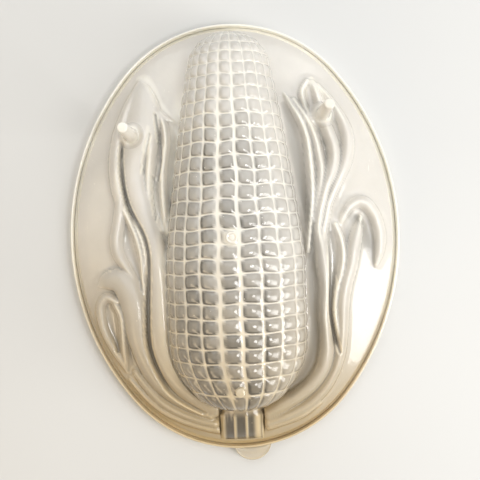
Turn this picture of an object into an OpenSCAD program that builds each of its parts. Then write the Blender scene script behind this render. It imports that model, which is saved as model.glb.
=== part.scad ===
// Oval jelly mould with a corn cob and husk leaves in relief, standing on its flat lid.
// The origin is the middle of the lid's underside, +Z is up and +Y points to the tip of the cob.
// The mould's long axis is Y, and its mouth is down, closed by the lid.

/* [Oval] */
// Length of the lid over its skirt, without the pull tab
oval_l = 240; // [220:1:270]
// Width of the lid over its skirt
oval_w = 186; // [170:1:210]
// Radius of the two arcs at the ends of the oval
end_r = 78; // [72:1:82]

/* [Lid] */
// Thickness of the flat panel
panel_t = 1.3; // [1:0.1:2]
// Thickness of the skirt round the outside
skirt_t = 1.2; // [0.8:0.1:1.8]
// Height of the skirt above the table
skirt_h = 7; // [5:0.5:9]
// Thickness of the plug ridge inside the mould's mouth
ridge_t = 1.2; // [0.8:0.1:2]
// Height of the plug ridge above the panel
ridge_h = 2.5; // [1.5:0.5:3]
// Radius of the pull tab
tab_r = 10.8; // [9:0.2:14]
// Reach of the pull tab beyond the skirt
tab_reach = 7; // [5:0.5:10]
// Distance of the pull tab's middle from the centre line
tab_side = 5.4; // [0:0.2:12]
// Thickness of the pull tab
tab_t = 1.2; // [0.8:0.1:2]
// Width of the bead round the edge of the pull tab
tab_bead = 1; // [0.6:0.1:2]

/* [Fit] */
// Gap between the mould's rim and the lid, beside it and below it
fit_gap = 0.3; // [0.2:0.05:0.6]

/* [Mould] */
// Wall of the mould
wall = 1.6; // [1.2:0.1:2]
// Width of the flange outside the wall
flange_w = 2.4; // [1.5:0.1:4]
// Thickness of the flange
flange_t = 1.6; // [1.2:0.1:2.4]
// Height of the upright wall between the flange and the dome
upright_h = 3.8; // [3:0.1:6]
// Rise of the plain dome above the upright wall
dome_rise = 15; // [10:1:20]
// Distance from the wall over which the dome rises
dome_run = 46; // [36:1:56]

/* [Cob] */
// Distance from the upright wall to the cob's tip
tip_in = 1.1; // [0.8:0.1:6]
// Distance from the outer oval to the cob's thick end
butt_in = 26.5; // [24:0.5:32]
// Half width of the cob where it is thickest
cob_r = 37.5; // [30:0.5:40]
// Height of the cob above the dome where it is thickest
cob_h = 34; // [26:0.5:38]
// Rows of kernels from tip to thick end
kernel_rows = 28; // [20:1:30]
// Columns of kernels over the half round, an odd number
kernel_cols = 11; // [7:2:11]
// Height of a kernel above its grooves
kernel_h = 1.4; // [0.8:0.1:2]

/* [Leaves and stem] */
// Height of the leaves as a share of the drawn height
leaf_lift = 1; // [0.7:0.05:1.2]
// Half width of the stem
stem_r = 12; // [9:0.5:14]
// Height of the stem above the dome
stem_h = 9; // [6:0.5:11]
// Ribs along the stem
stem_ribs = 4; // [3:1:6]

/* [Feet] */
// Height of the plane through the tips of the three feet, above the highest kernels
foot_clear = 1.6; // [1:0.1:5]
// Diameter of the two tall feet on the leaves
foot_d = 6.5; // [5:0.5:8]
// Diameter of the short foot on the thick end of the cob
nub_d = 4.8; // [3.5:0.1:6]
// Diameter of the gate pip on the crown of the cob
pip_d = 6; // [4:0.5:8]
// Height of the gate pip above the kernels
pip_h = 0.5; // [0.3:0.1:0.8]

/* [Hidden] */
$fn = 96;

milky = [0.93, 0.9, 0.84];
clear = [0.86, 0.87, 0.85, 0.8];
in_rad = PI / 180;
tiny = 0.01;

// The oval is four arcs: two of end_r about (0, +-end_c) and two of side_r about (+-side_c, 0).
half_l = oval_l / 2;
half_w = oval_w / 2;
end_c = half_l - end_r;
side_r = (end_c * end_c + half_w * half_w - end_r * end_r) / (2 * (half_w - end_r));
side_c = side_r - half_w;
turn = atan2(side_c, end_c);
end_path = end_r * turn * in_rad;
side_path = side_r * (90 - turn) * in_rad;
half_path = 2 * (end_path + side_path);

// Levels of the mould's rim, and how far its faces lie inside the oval.
rim_z = panel_t + fit_gap;
flange_z = rim_z + flange_t;
shoulder_z = flange_z + upright_h;
flange_in = skirt_t + fit_gap;
wall_in = flange_in + flange_w;
mouth_in = wall_in + wall;
ridge_in = mouth_in + 1.5 * fit_gap;
dome_curve = 2.2;

// The cob's two ends, and the shares of its length that its nose and thick end round over.
tip_y = half_l - wall_in - tip_in;
butt_y = butt_in - half_l;
stem_y = wall_in + 4 - half_l;
cob_len = tip_y - butt_y;
nose_run = 0.088;
taper_run = 0.62;
taper_share = 0.5;
taper_curve = 1.2;
butt_run = 0.19;
butt_round = sqrt(1 - pow(stem_r / cob_r, 2));
crown_run = 0.12;
crown_curve = 3.5;
crown_round = pow(1 - pow(stem_h / cob_h, crown_curve), 1 / crown_curve);

// Kernel rows are shorter near the tip: squeeze is the length they lose there, over squeeze_run.
squeeze = 0.065;
squeeze_run = 0.12;
groove_share = 0.3;
flute_deep = 1.3;
rib_reach = 0.9;

// The leaves are ridges. Each is a list of [x, y, half width, height], drawn on an oval of this half size.
drawn_w = 93;
drawn_l = 120;
ridge_curve = 0.75;
hem_w = 4;
hem_share = 0.35;
edge_fade = 3;
foot_fade = 2;
left_leaves = [
    [[-50, 89, 1, 2], [-54, 78, 2.5, 6], [-60, 62, 3.2, 9], [-63.5, 42, 3.5, 9], [-61.5, 22, 3, 7.5],
     [-64.5, 4, 3, 7], [-62.5, -11, 3, 6], [-51.5, -31, 1.5, 4]],
    [[-60, 17, 2, 7], [-53, 0, 2, 7], [-50.5, -20, 1.6, 6.5], [-50, -36, 1, 5]],
    [[-49, 87, 2, 3], [-48, 70, 7.5, 9], [-53, 44, 6, 10], [-51, 20, 5, 10], [-44.5, -4, 4, 9],
     [-43.5, -32, 4, 9], [-43.5, -58, 4, 8.5], [-33, -80, 4, 8], [-16, -95, 4, 6]],
    [[-40, 70, 1.5, 4], [-36, 55, 2, 7], [-38, 32, 2, 7], [-36.5, 2, 1.5, 5]],
    [[-42, 64, 1.5, 5], [-44.5, 42, 2.5, 8], [-45.5, 24, 2.2, 8], [-40, 4, 1.5, 5.5]],
    [[-42, 70, 2, 5], [-36, 66.5, 2, 4.5], [-31, 63, 1, 2]],
    [[-76, -25, 2, 3], [-66, -22, 4.5, 7], [-57.5, -32, 5.5, 9], [-55.5, -52, 4.6, 9], [-48, -75, 4, 8],
     [-35, -89, 3, 7], [-17, -98.5, 2.5, 6]],
    [[-66, -33, 2, 6], [-75, -34, 2.5, 6], [-76, -46, 2.5, 6], [-70, -61, 2.5, 5.5], [-63, -74, 1, 2.5]],
    [[-68, -34, 2, 6], [-63.5, -48, 2.2, 6.5], [-63, -72, 1, 3]],
    [[-58, -74, 2, 4], [-44, -91, 2.5, 6], [-15, -103.5, 2.5, 6]],
    [[-62, -79, 1.5, 3], [-44, -96.5, 2, 4.5], [-13, -108.5, 2, 4.5]]
];
right_leaves = [
    [[30, 77, 1, 2], [38, 61, 2.2, 7.5], [42, 40, 2.3, 9], [42, 16, 2.2, 8.5], [39.5, -12, 1.2, 4]],
    [[35, 73, 1.5, 4], [45, 53, 2.3, 7.5], [48, 34, 2.6, 8], [43, 6, 2, 6.5]],
    [[46, 83, 2, 4], [50, 64, 3, 9], [55.5, 44, 3, 9.5], [48, 17, 2.6, 9], [46.5, -8, 2.8, 9],
     [48, -30, 3.2, 9], [47.5, -62, 3.5, 9], [39, -83, 3.5, 8], [15, -98, 3, 6.5]],
    [[43, 84, 1.5, 4], [39.5, 77, 1.6, 6.5], [41, 69, 1.6, 6.5], [49, 50, 1.5, 5]],
    [[49, 82, 1.5, 3], [60, 65, 2.5, 7], [64, 49, 3, 7.5], [58.5, 30, 2.6, 7], [49.5, 7, 2, 7],
     [47.5, -8, 2, 7]],
    [[55, 4, 1.5, 4], [58.5, -11, 2, 7], [53.5, -36, 1.8, 7], [54.5, -57, 2, 7]],
    [[70, 7, 2.5, 6], [64.5, -9, 3.2, 8.5], [57.5, -36, 3.2, 8.5], [56, -64, 2.8, 8],
     [46, -87, 2.8, 7], [15, -103.5, 2.8, 6]],
    [[61, 11, 2, 4], [70, 16.5, 3, 7], [79, 5, 3, 7.5], [80, -8, 2.8, 7], [78, -19, 1.5, 3]],
    [[44, -95, 1.5, 3], [30, -102.5, 2, 4.5], [14, -107.5, 2, 4.5]]
];

// Where the feet and the gate pip stand, on the drawn oval, and the flat places under them.
left_foot = [-54, 56];
right_foot = [50, 64];
nub_y = -79;
pip_y = -1;
pad_r = 5;
pad_blend = 4;
foot_sink = 0.8;

// Grid of the mould's surfaces: two steps a kernel, a few down the stem, and rings out to the shoulder.
// A spoke leaves every second point of the patch's edge, and every point near the tip and thick end.
stem_steps = 3;
rings = 17;
close_steps = 5;
cob_lines = 2 * kernel_rows;
long_lines = cob_lines + 2 * stem_steps;
cross_lines = 2 * kernel_cols;
loop_count = 2 * long_lines + cross_lines;
function has_spoke(l) = l % 2 == 0 || l < close_steps || (l < cob_lines && l >= cob_lines - close_steps);
spoke_loops = [for (l = [0:loop_count - 1]) if (has_spoke(min(l, loop_count - l))) l];
spokes = len(spoke_loops);
patch_count = 1 + long_lines * (cross_lines + 1);
side_count = patch_count + rings * spokes;
rim_rings = [[wall_in, flange_z], [flange_in, flange_z], [flange_in, rim_z], [mouth_in, rim_z]];
inner_start = side_count + len(rim_rings) * spokes;
cell_steps = [-0.4, -0.2, 0, 0.2, 0.4];
steepest = 1.7;
edge_drop = 0.5;
shift_blend = 5;

function clamp01(v) = max(0, min(1, v));
function mix(a, b, f) = a + (b - a) * f;

// Point on the oval, inset by some distance, at share f of the way round from the tip end.
function oval_arc(s) = s < end_path ? 0 : s > half_path - end_path ? 2 : 1;
function oval_angle(s) = [s / end_r / in_rad, turn + (s - end_path) / side_r / in_rad,
    180 - (half_path - s) / end_r / in_rad][oval_arc(s)];
function oval_centre(s) = [[0, end_c], [-side_c, 0], [0, -end_c]][oval_arc(s)];
function oval_right(s, inset) = oval_centre(s)
    + ((oval_arc(s) == 1 ? side_r : end_r) - inset) * [sin(oval_angle(s)), cos(oval_angle(s))];
function oval_at(f, inset) = f <= 0.5 ? oval_right(2 * f * half_path, inset)
    : let(p = oval_right(2 * (1 - f) * half_path, inset)) [-p.x, p.y];

// How far a point lies inside the oval, and the height of the plain dome there.
function rim_gap(p) = let(ax = abs(p.x), ay = abs(p.y))
    side_c * (ay - end_c) > end_c * ax ? end_r - norm([ax, ay - end_c]) : side_r - norm([ax + side_c, ay]);
function dome(p) = shoulder_z
    + dome_rise * (1 - pow(max(0, 1 - max(0, rim_gap(p) - wall_in) / dome_run), dome_curve));

// A smooth run through a ridge's drawn points, with one point added between each two.
function midway(a, b, c, d) = (9 * (b + c) - a - d) / 16;
function smooth_run(p) = let(n = len(p) - 1) [
    for (i = [0:n]) each i == n ? [p[n]]
        : [p[i], midway(p[max(0, i - 1)], p[i], p[i + 1], p[min(n, i + 2)])]
];
function box_of(run) = [
    min([for (p = run) p.x - p[2]]) - hem_w, max([for (p = run) p.x + p[2]]) + hem_w,
    min([for (p = run) p.y - p[2]]) - hem_w, max([for (p = run) p.y + p[2]]) + hem_w
];
leaf_runs = [for (leaf = concat(left_leaves, right_leaves)) smooth_run(leaf)];
leaf_boxes = [for (run = leaf_runs) box_of(run)];

// Height of the ridges at a drawn point: a rounded section about the nearest place on each run, and a
// low hem that slopes out beyond its edge.
function bulge(away, curve) = away >= 1 ? 0 : pow(1 - away * away, curve);
function ridge_part(q, a, b) = let(
        ab = [b.x - a.x, b.y - a.y],
        f = clamp01(((q.x - a.x) * ab.x + (q.y - a.y) * ab.y) / (ab * ab)),
        away = norm([q.x - a.x - f * ab.x, q.y - a.y - f * ab.y]),
        half = mix(a[2], b[2], f)
    ) mix(a[3], b[3], f) * max(bulge(away / half, ridge_curve), hem_share * bulge(away / (half + hem_w), 2));
function ridge_at(q, run) = max([for (i = [0:len(run) - 2]) ridge_part(q, run[i], run[i + 1])]);
function in_box(q, b) = q.x > b[0] && q.x < b[1] && q.y > b[2] && q.y < b[3];
function leaves(q) = max(concat([0],
    [for (i = [0:len(leaf_runs) - 1]) if (in_box(q, leaf_boxes[i])) ridge_at(q, leaf_runs[i])]));
function drawn(p) = [p.x * drawn_w / half_w, p.y * drawn_l / half_l];
function placed(q) = [q.x * half_w / drawn_w, q.y * half_l / drawn_l];
function relief(p) = dome(p)
    + leaf_lift * leaves(drawn(p)) * clamp01((rim_gap(p) - wall_in) / edge_fade);

// The leaf is flat round each tall foot, at the height it has at the foot's middle.
feet = [placed(left_foot), placed(right_foot)];
foot_bases = [for (f = feet) relief(f)];
function pad(p, i, z) = mix(z, foot_bases[i], clamp01((pad_r + pad_blend - norm(p - feet[i])) / pad_blend));

// The cob: its rows, and its half width and rise at share t of its length from the tip.
function row_share(u) = (1 + squeeze) * u - squeeze * (1 - exp(-u / squeeze_run));
function row_y(u) = tip_y - cob_len * row_share(u) / row_share(1);
function taper(t) = 1 - taper_share * pow(max(0, 1 - t / taper_run), taper_curve);
function nose(t) = sqrt(1 - pow(max(0, 1 - t / nose_run), 2));
function butt(t) = sqrt(1 - pow(max(0, (t - 1 + butt_run) / butt_run) * butt_round, 2));
function crown(t) = pow(1 - pow(max(0, (t - 1 + crown_run) / crown_run) * crown_round, crown_curve),
    1 / crown_curve);
function cob_half(t) = cob_r * taper(t) * nose(t) * butt(t);
function cob_rise(t) = cob_h * taper(t) * nose(t) * crown(t);
function crown_z(y) = let(t = (tip_y - y) / cob_len) dome([cob_half(t), y]) + cob_rise(t);

// Half width and rise of the cob, and of the stem beyond it, at line j of the grid.
function along(j) = j <= cob_lines ? row_y(j / cob_lines)
    : mix(butt_y, stem_y, (j - cob_lines) / (long_lines - cob_lines));
function share(j) = clamp01((tip_y - along(j)) / cob_len);
function half_at(j) = j <= cob_lines ? cob_half(share(j)) : stem_r;
function rise_at(j) = j <= cob_lines ? cob_rise(share(j))
    : stem_h * sqrt(1 - pow((j - cob_lines) / (long_lines - cob_lines), 4));

// A kernel is highest in its middle, lower along its grooves and lowest where grooves cross.
// The cob has a flat place at kernel height under the short foot and under the gate pip.
pip_at = placed([0, pip_y]);
nub_at = placed([0, nub_y]);
function is_flat(p) = norm(p - pip_at) < pip_d / 2 + 3 || norm(p - nub_at) < nub_d / 2 + 3;
function kernel(j, i) = kernel_h * (j % 2 + i % 2 == 2 ? 1 : j % 2 + i % 2 == 1 ? groove_share : 0);
function flute(v) = flute_deep * (0.5 - 0.5 * cos(180 * (stem_ribs - 1) * (v / rib_reach + 1)));
function bump(j, i, across) = i == 0 || i == cross_lines || j == long_lines ? 0
    : j > cob_lines ? -flute(across) * rise_at(j) / stem_h
    : is_flat([half_at(j) * across, along(j)]) ? kernel_h
    : kernel(j, i) * clamp01(half_at(j) / stem_r);

// Point at line j along and i across the cob or stem. The inside has skin = wall, the outside 0.
function patch_point(j, i, skin) = let(
        a = 180 * i / cross_lines - 90,
        half = half_at(j),
        up = bump(j, i, sin(a))
    ) [(half - skin + up) * sin(a), along(j) + skin * (2 * j / long_lines - 1),
       dome([half, along(j)]) - skin * (1 + edge_drop * abs(sin(a))) + (rise_at(j) + up) * cos(a)];
function patch_points(skin) = [
    let(tip = patch_point(0, kernel_cols, skin)) [0, tip.y, tip.z],
    for (j = [1:long_lines]) for (i = [0:cross_lines]) patch_point(j, i, skin)
];

// Vertex numbers in one surface: the patch, its edge taken clockwise from the tip, and the rings.
function patch_at(j, i) = j == 0 ? 0 : 1 + (j - 1) * (cross_lines + 1) + i;
function loop_at(l) = l == 0 || l == loop_count ? 0
    : l <= long_lines ? patch_at(l, cross_lines)
    : l <= long_lines + cross_lines ? patch_at(long_lines, long_lines + cross_lines - l)
    : patch_at(loop_count - l, 0);
function ring_at(k, m) = patch_count + (k - 1) * spokes + m % spokes;

// The outside's rings run from the patch's edge to the shoulder. Each spoke ends as far round the oval,
// as a share of the way, as it starts round the patch's edge.
outer_patch = patch_points(0);
inner_patch = patch_points(wall);
function flat_of(p) = [p.x, p.y];
function edge_xy(l) = flat_of(outer_patch[loop_at(l)]);
function edge_step(l) = norm(edge_xy(l) - edge_xy(l + 1));
edge_path = [for (l = 0, way = 0; l <= loop_count; way = l < loop_count ? way + edge_step(l) : way, l = l + 1) way];
spoke_shares = [for (l = spoke_loops) edge_path[l] / edge_path[loop_count]];
function rim_xy(m, inset) = oval_at(spoke_shares[m], inset);
function ring_xy(k, m) = mix(edge_xy(spoke_loops[m]), rim_xy(m, wall_in), k / rings);

// The relief is averaged over a grid cell, nearly half way to the next spokes and a third of a ring.
// It fades out where it meets the cob and the stem.
function cell_mean(k, m) = let(
        p = ring_xy(k, m),
        before = ring_xy(k, (m + spokes - 1) % spokes) - p,
        after = ring_xy(k, (m + 1) % spokes) - p,
        inward = (ring_xy(k - 1, m) - p) / 3,
        heights = [
            for (across = [-1:1]) for (step = cell_steps)
                relief(p + across * inward + (step < 0 ? -step * before : step * after))
        ]
    ) mix(dome(p), heights * [for (h = heights) 1] / len(heights),
          clamp01(norm(p - edge_xy(spoke_loops[m])) / foot_fade));
outer_rings = [
    for (k = [1:rings]) for (m = [0:spokes - 1]) let(p = ring_xy(k, m))
        [p.x, p.y, k == rings ? shoulder_z : pad(p, 0, pad(p, 1, cell_mean(k, m)))]
];
function outer_at(k, m) = let(n = (m + spokes) % spokes)
    k == 0 ? outer_patch[loop_at(spoke_loops[n])] : outer_rings[(k - 1) * spokes + n];

// The inside lies one wall below the outside, square to it, with slopes no steeper than steepest.
// It is drawn in at both edges, so that the cob's side and the upright wall have their wall too.
function beside(k, m) = concat([outer_at(k - 1, m), outer_at(k, m - 1), outer_at(k, m + 1)],
    k == rings ? [] : [outer_at(k + 1, m)]);
function slope_of(p, near) = max([for (q = near) abs(p.z - q.z) / max(tiny, norm(flat_of(p - q)))]);
function below(p, near) = min(concat(
    [p.z - wall * norm([1, min(slope_of(p, near), steepest)])],
    [for (q = near) q.z - wall * norm([1, steepest]) + steepest * norm(flat_of(p - q))]
));
mouth_z = shoulder_z - wall * norm([1, dome_rise * dome_curve / dome_run]);
function inner_point(k, m) = let(
        p = outer_at(k, m),
        l = loop_at(spoke_loops[m]),
        edge_shift = flat_of(inner_patch[l] - outer_patch[l]),
        rim_shift = rim_xy(m, mouth_in) - rim_xy(m, wall_in),
        span = norm(rim_xy(m, wall_in) - flat_of(outer_patch[l])),
        closeness = max(0, 1 - span * min(k / rings, 1 - k / rings) / shift_blend),
        shift = closeness * mix(edge_shift, rim_shift, k / rings)
    ) [p.x + shift.x, p.y + shift.y, k == rings ? mouth_z : below(p, beside(k, m))];
inner_rings = [for (k = [1:rings]) for (m = [0:spokes - 1]) inner_point(k, m)];
rim_points = [
    for (r = rim_rings) for (m = [0:spokes - 1]) let(p = rim_xy(m, r[0])) [p.x, p.y, r[1]]
];

// Triangles of one surface, and the same turned over for the inside.
function quad(a, b, c, d, ac) = ac ? [[a, b, c], [a, c, d]] : [[a, b, d], [b, c, d]];
function ring_split(k, m) =
    abs(outer_at(k, m).z - outer_at(k + 1, m + 1).z) < abs(outer_at(k + 1, m).z - outer_at(k, m + 1).z);
side_faces = concat(
    [for (i = [0:cross_lines - 1]) [0, patch_at(1, i + 1), patch_at(1, i)]],
    [for (j = [1:long_lines - 1]) for (i = [0:cross_lines - 1])
        each quad(patch_at(j, i), patch_at(j, i + 1), patch_at(j + 1, i + 1), patch_at(j + 1, i),
                  (i + j) % 2 == 0)],
    [for (m = [0:spokes - 1]) each let(
        first = spoke_loops[m],
        last = m == spokes - 1 ? loop_count : spoke_loops[m + 1]
    ) concat(
        [[loop_at(first), ring_at(1, m), loop_at(first + 1)]],
        [[loop_at(first + 1), ring_at(1, m), ring_at(1, m + 1)]],
        [if (last == first + 2) [loop_at(first + 1), ring_at(1, m + 1), loop_at(last)]]
    )],
    [for (k = [1:rings - 1]) for (m = [0:spokes - 1])
        each quad(ring_at(k, m), ring_at(k + 1, m), ring_at(k + 1, m + 1), ring_at(k, m + 1),
                  ring_split(k, m))]
);
function turned(f) = [f[2] + inner_start, f[1] + inner_start, f[0] + inner_start];
function strip(a, b) = [
    for (m = [0:spokes - 1]) each quad(a + m, b + m, b + (m + 1) % spokes, a + (m + 1) % spokes, true)
];
outer_edge = ring_at(rings, 0);
rim_faces = concat(
    strip(outer_edge, side_count),
    [for (r = [0:len(rim_rings) - 2]) each strip(side_count + r * spokes, side_count + (r + 1) * spokes)],
    strip(inner_start - spokes, inner_start + outer_edge)
);

// A foot reaches from inside the mould's wall to the plane of the three tips.
feet_z = shoulder_z + dome_rise + cob_h + kernel_h + foot_clear;
module foot(at, base, d) {
    translate([at.x, at.y, base - foot_sink])
        cylinder(d = d, h = feet_z - base + foot_sink);
}

module mould() {
    color(milky)
    union() {
        polyhedron(
            points = concat(outer_patch, outer_rings, rim_points, inner_patch, inner_rings),
            faces = concat(side_faces, rim_faces, [for (f = side_faces) turned(f)]),
            convexity = 12
        );
        foot(feet[0], foot_bases[0], foot_d);
        foot(feet[1], foot_bases[1], foot_d);
        foot(nub_at, crown_z(nub_at.y) + kernel_h, nub_d);
        translate([pip_at.x, pip_at.y, crown_z(pip_at.y) + kernel_h - foot_sink])
            cylinder(d = pip_d, h = foot_sink + pip_h);
    }
}

// The oval drawn in by an inset: a strip of the lens between its side circles, and its end circles.
module oval(inset) {
    intersection() {
        translate([-side_c, 0])
            circle(r = side_r - inset);
        translate([side_c, 0])
            circle(r = side_r - inset);
        square([2 * oval_w, 2 * end_c + 2 * (end_r - inset) * cos(turn)], center = true);
    }
    for (end = [-end_c, end_c])
        translate([0, end])
            circle(r = end_r - inset);
}

// An upright band that follows the oval, between two insets.
module oval_band(inset, t, h) {
    linear_extrude(h)
    difference() {
        oval(inset);
        oval(inset + t);
    }
}

// The pull tab is thinner inside the bead round its edge.
module pull_tab() {
    tab_y = tab_r - tab_reach - half_l;
    difference() {
        translate([tab_side, tab_y, skirt_h - tab_t])
            cylinder(r = tab_r, h = tab_t);
        translate([tab_side, tab_y, skirt_h - tab_t / 3])
            cylinder(r = tab_r - tab_bead, h = tab_t);
        translate([0, 0, -tiny])
            linear_extrude(skirt_h + 2 * tiny)
                oval(skirt_t / 2);
    }
}

module lid() {
    color(clear)
    union() {
        linear_extrude(panel_t)
            oval(0);
        oval_band(0, skirt_t, skirt_h);
        translate([0, 0, panel_t / 2])
            oval_band(ridge_in, ridge_t, ridge_h + panel_t / 2);
        pull_tab();
    }
}

lid();
mould();
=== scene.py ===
import math

import bpy
import numpy as np
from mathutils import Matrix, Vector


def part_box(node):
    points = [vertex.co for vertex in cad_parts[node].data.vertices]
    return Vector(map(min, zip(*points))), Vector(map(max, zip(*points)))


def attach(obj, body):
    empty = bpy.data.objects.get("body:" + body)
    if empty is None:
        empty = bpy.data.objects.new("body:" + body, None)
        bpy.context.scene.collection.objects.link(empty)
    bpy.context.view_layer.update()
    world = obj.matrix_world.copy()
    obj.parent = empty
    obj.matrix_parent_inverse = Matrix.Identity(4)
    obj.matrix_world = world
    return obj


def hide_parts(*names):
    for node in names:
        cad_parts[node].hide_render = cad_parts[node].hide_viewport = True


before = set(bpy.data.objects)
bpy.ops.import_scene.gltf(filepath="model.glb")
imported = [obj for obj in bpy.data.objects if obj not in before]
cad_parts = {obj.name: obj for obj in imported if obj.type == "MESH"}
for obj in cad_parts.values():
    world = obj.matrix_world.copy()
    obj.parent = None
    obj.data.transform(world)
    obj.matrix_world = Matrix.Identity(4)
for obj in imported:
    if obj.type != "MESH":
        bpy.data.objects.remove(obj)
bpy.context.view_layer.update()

bl_info = {
    "name": "Corn cob jelly mould",
    "version": (1, 0, 0),
    "blender": (4, 5, 0),
    "location": "3D View > Sidebar > Jelly mould",
    "description": "Milky plastic jelly mould with a corn cob in relief, closed by its lid",
    "category": "Add Mesh",
}

LID_LOW, LID_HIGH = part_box("lid")
MOULD_LOW, MOULD_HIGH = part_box("mould")
MM = 0.001

# Sizes of the mould in millimetres that the relief is drawn on.
HALF_W = 93.0
HALF_L = 120.0
END_R = 78.0
END_C = HALF_L - END_R
SIDE_R = (END_C ** 2 + HALF_W ** 2 - END_R ** 2) / (2 * (HALF_W - END_R))
SIDE_C = SIDE_R - HALF_W
TURN = math.atan2(SIDE_C, END_C)
SHOULDER_Z = 7.0
FLANGE_Z = 3.2
RIM_Z = 1.6
WALL_IN = 3.9
TIP_Y = HALF_L - WALL_IN - 1.1
BUTT_Y = 26.5 - HALF_L
HEM_W = 4.0
HEM_SHARE = 0.35
FEET_Z = MOULD_HIGH[2] / MM

# Husk leaves as ridges: x, y, half width and height above the dome along each, in millimetres.
LEFT_RIDGES = (
    ((-50, 89, 1, 2), (-54, 78, 2.5, 6), (-58, 68, 3, 8), (-61, 58, 3.5, 9), (-63, 48, 3.5, 9),
     (-63.5, 38, 3.5, 8.5), (-62.5, 28, 3.5, 8), (-61.5, 20, 3, 7.5), (-63, 10, 3, 7), (-65, 0, 3, 6.5),
     (-64, -8, 3, 6), (-60, -15, 2.5, 5.5), (-55, -23, 2, 5), (-51.5, -31, 1.5, 4)),
    ((-60, 17, 2, 7), (-56, 8, 2, 7), (-53, 0, 2, 7), (-51, -10, 2, 6.5), (-50.5, -22, 1.5, 6),
     (-50, -36, 1, 5)),
    ((-49, 87, 2, 3), (-48, 78, 5, 7), (-48, 68, 7.5, 9), (-50, 56, 8, 10), (-53, 44, 6, 10.5),
     (-54, 32, 5.5, 10.5), (-51, 20, 5, 10), (-48, 8, 4.8, 9.5), (-44.8, -4, 4.8, 9), (-43, -16, 5.2, 9),
     (-42.6, -32, 5.6, 8.5), (-42.6, -48, 5.8, 8.5), (-41.5, -60, 5.8, 8), (-37.8, -71, 5.6, 8),
     (-32, -80, 5.2, 7.5), (-24.5, -87.5, 4.6, 7), (-16, -94.5, 4.2, 6)),
    ((-40, 70, 1.5, 4), (-36.5, 62, 2, 6), (-35.5, 52, 2, 7), (-37, 42, 2, 7), (-38, 32, 2, 7),
     (-38, 22, 2, 7), (-37.5, 12, 2, 6.5), (-36.5, 2, 1.5, 5)),
    ((-43, 71, 2, 6), (-40, 70, 1.8, 5), (-36, 66, 2, 4.5), (-31, 63, 1, 2)),
    ((-42, 62, 1.5, 5), (-43, 52, 2.5, 7.5), (-44.5, 42, 2.5, 8), (-45.5, 32, 2.5, 8),
     (-45.5, 22, 2, 7.5), (-43.5, 12, 2, 7), (-40, 4, 1.5, 5.5)),
    ((-76, -25, 2, 3), (-70, -22, 4, 6), (-63, -23, 5, 8), (-58, -31, 5.5, 9), (-56, -42, 5, 9),
     (-55.5, -52, 4.5, 9), (-53.5, -62, 4, 8.5), (-49, -73, 4, 8), (-43, -82, 3.5, 7.5),
     (-35, -89, 3, 7), (-25, -95, 2.5, 6.5), (-17, -98.5, 2.5, 6)),
    ((-66, -34, 2, 6), (-72, -31.5, 2.5, 6), (-76, -36, 2.5, 6), (-76, -45, 2.5, 6),
     (-74, -53, 2.5, 5.5), (-70, -61, 2.5, 5), (-65, -69, 2, 4.5), (-63, -74, 1, 2.5)),
    ((-67, -35, 2, 6), (-64, -42, 2, 6.5), (-63.5, -52, 2, 6.5), (-63.5, -62, 2, 6), (-63, -72, 1, 3)),
    ((-58, -74, 2, 4), (-52, -82, 2.5, 5.5), (-44, -91, 2.5, 6), (-34, -97, 2.5, 6),
     (-24, -101, 2.5, 6), (-15, -103.5, 2.5, 6)),
    ((-62, -79, 1.5, 3), (-54, -88, 2, 4), (-44, -96.5, 2, 4.5), (-32, -102.5, 2, 4.5),
     (-20, -106.5, 2, 4.5), (-13, -108, 2, 4.5)),
)
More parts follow.
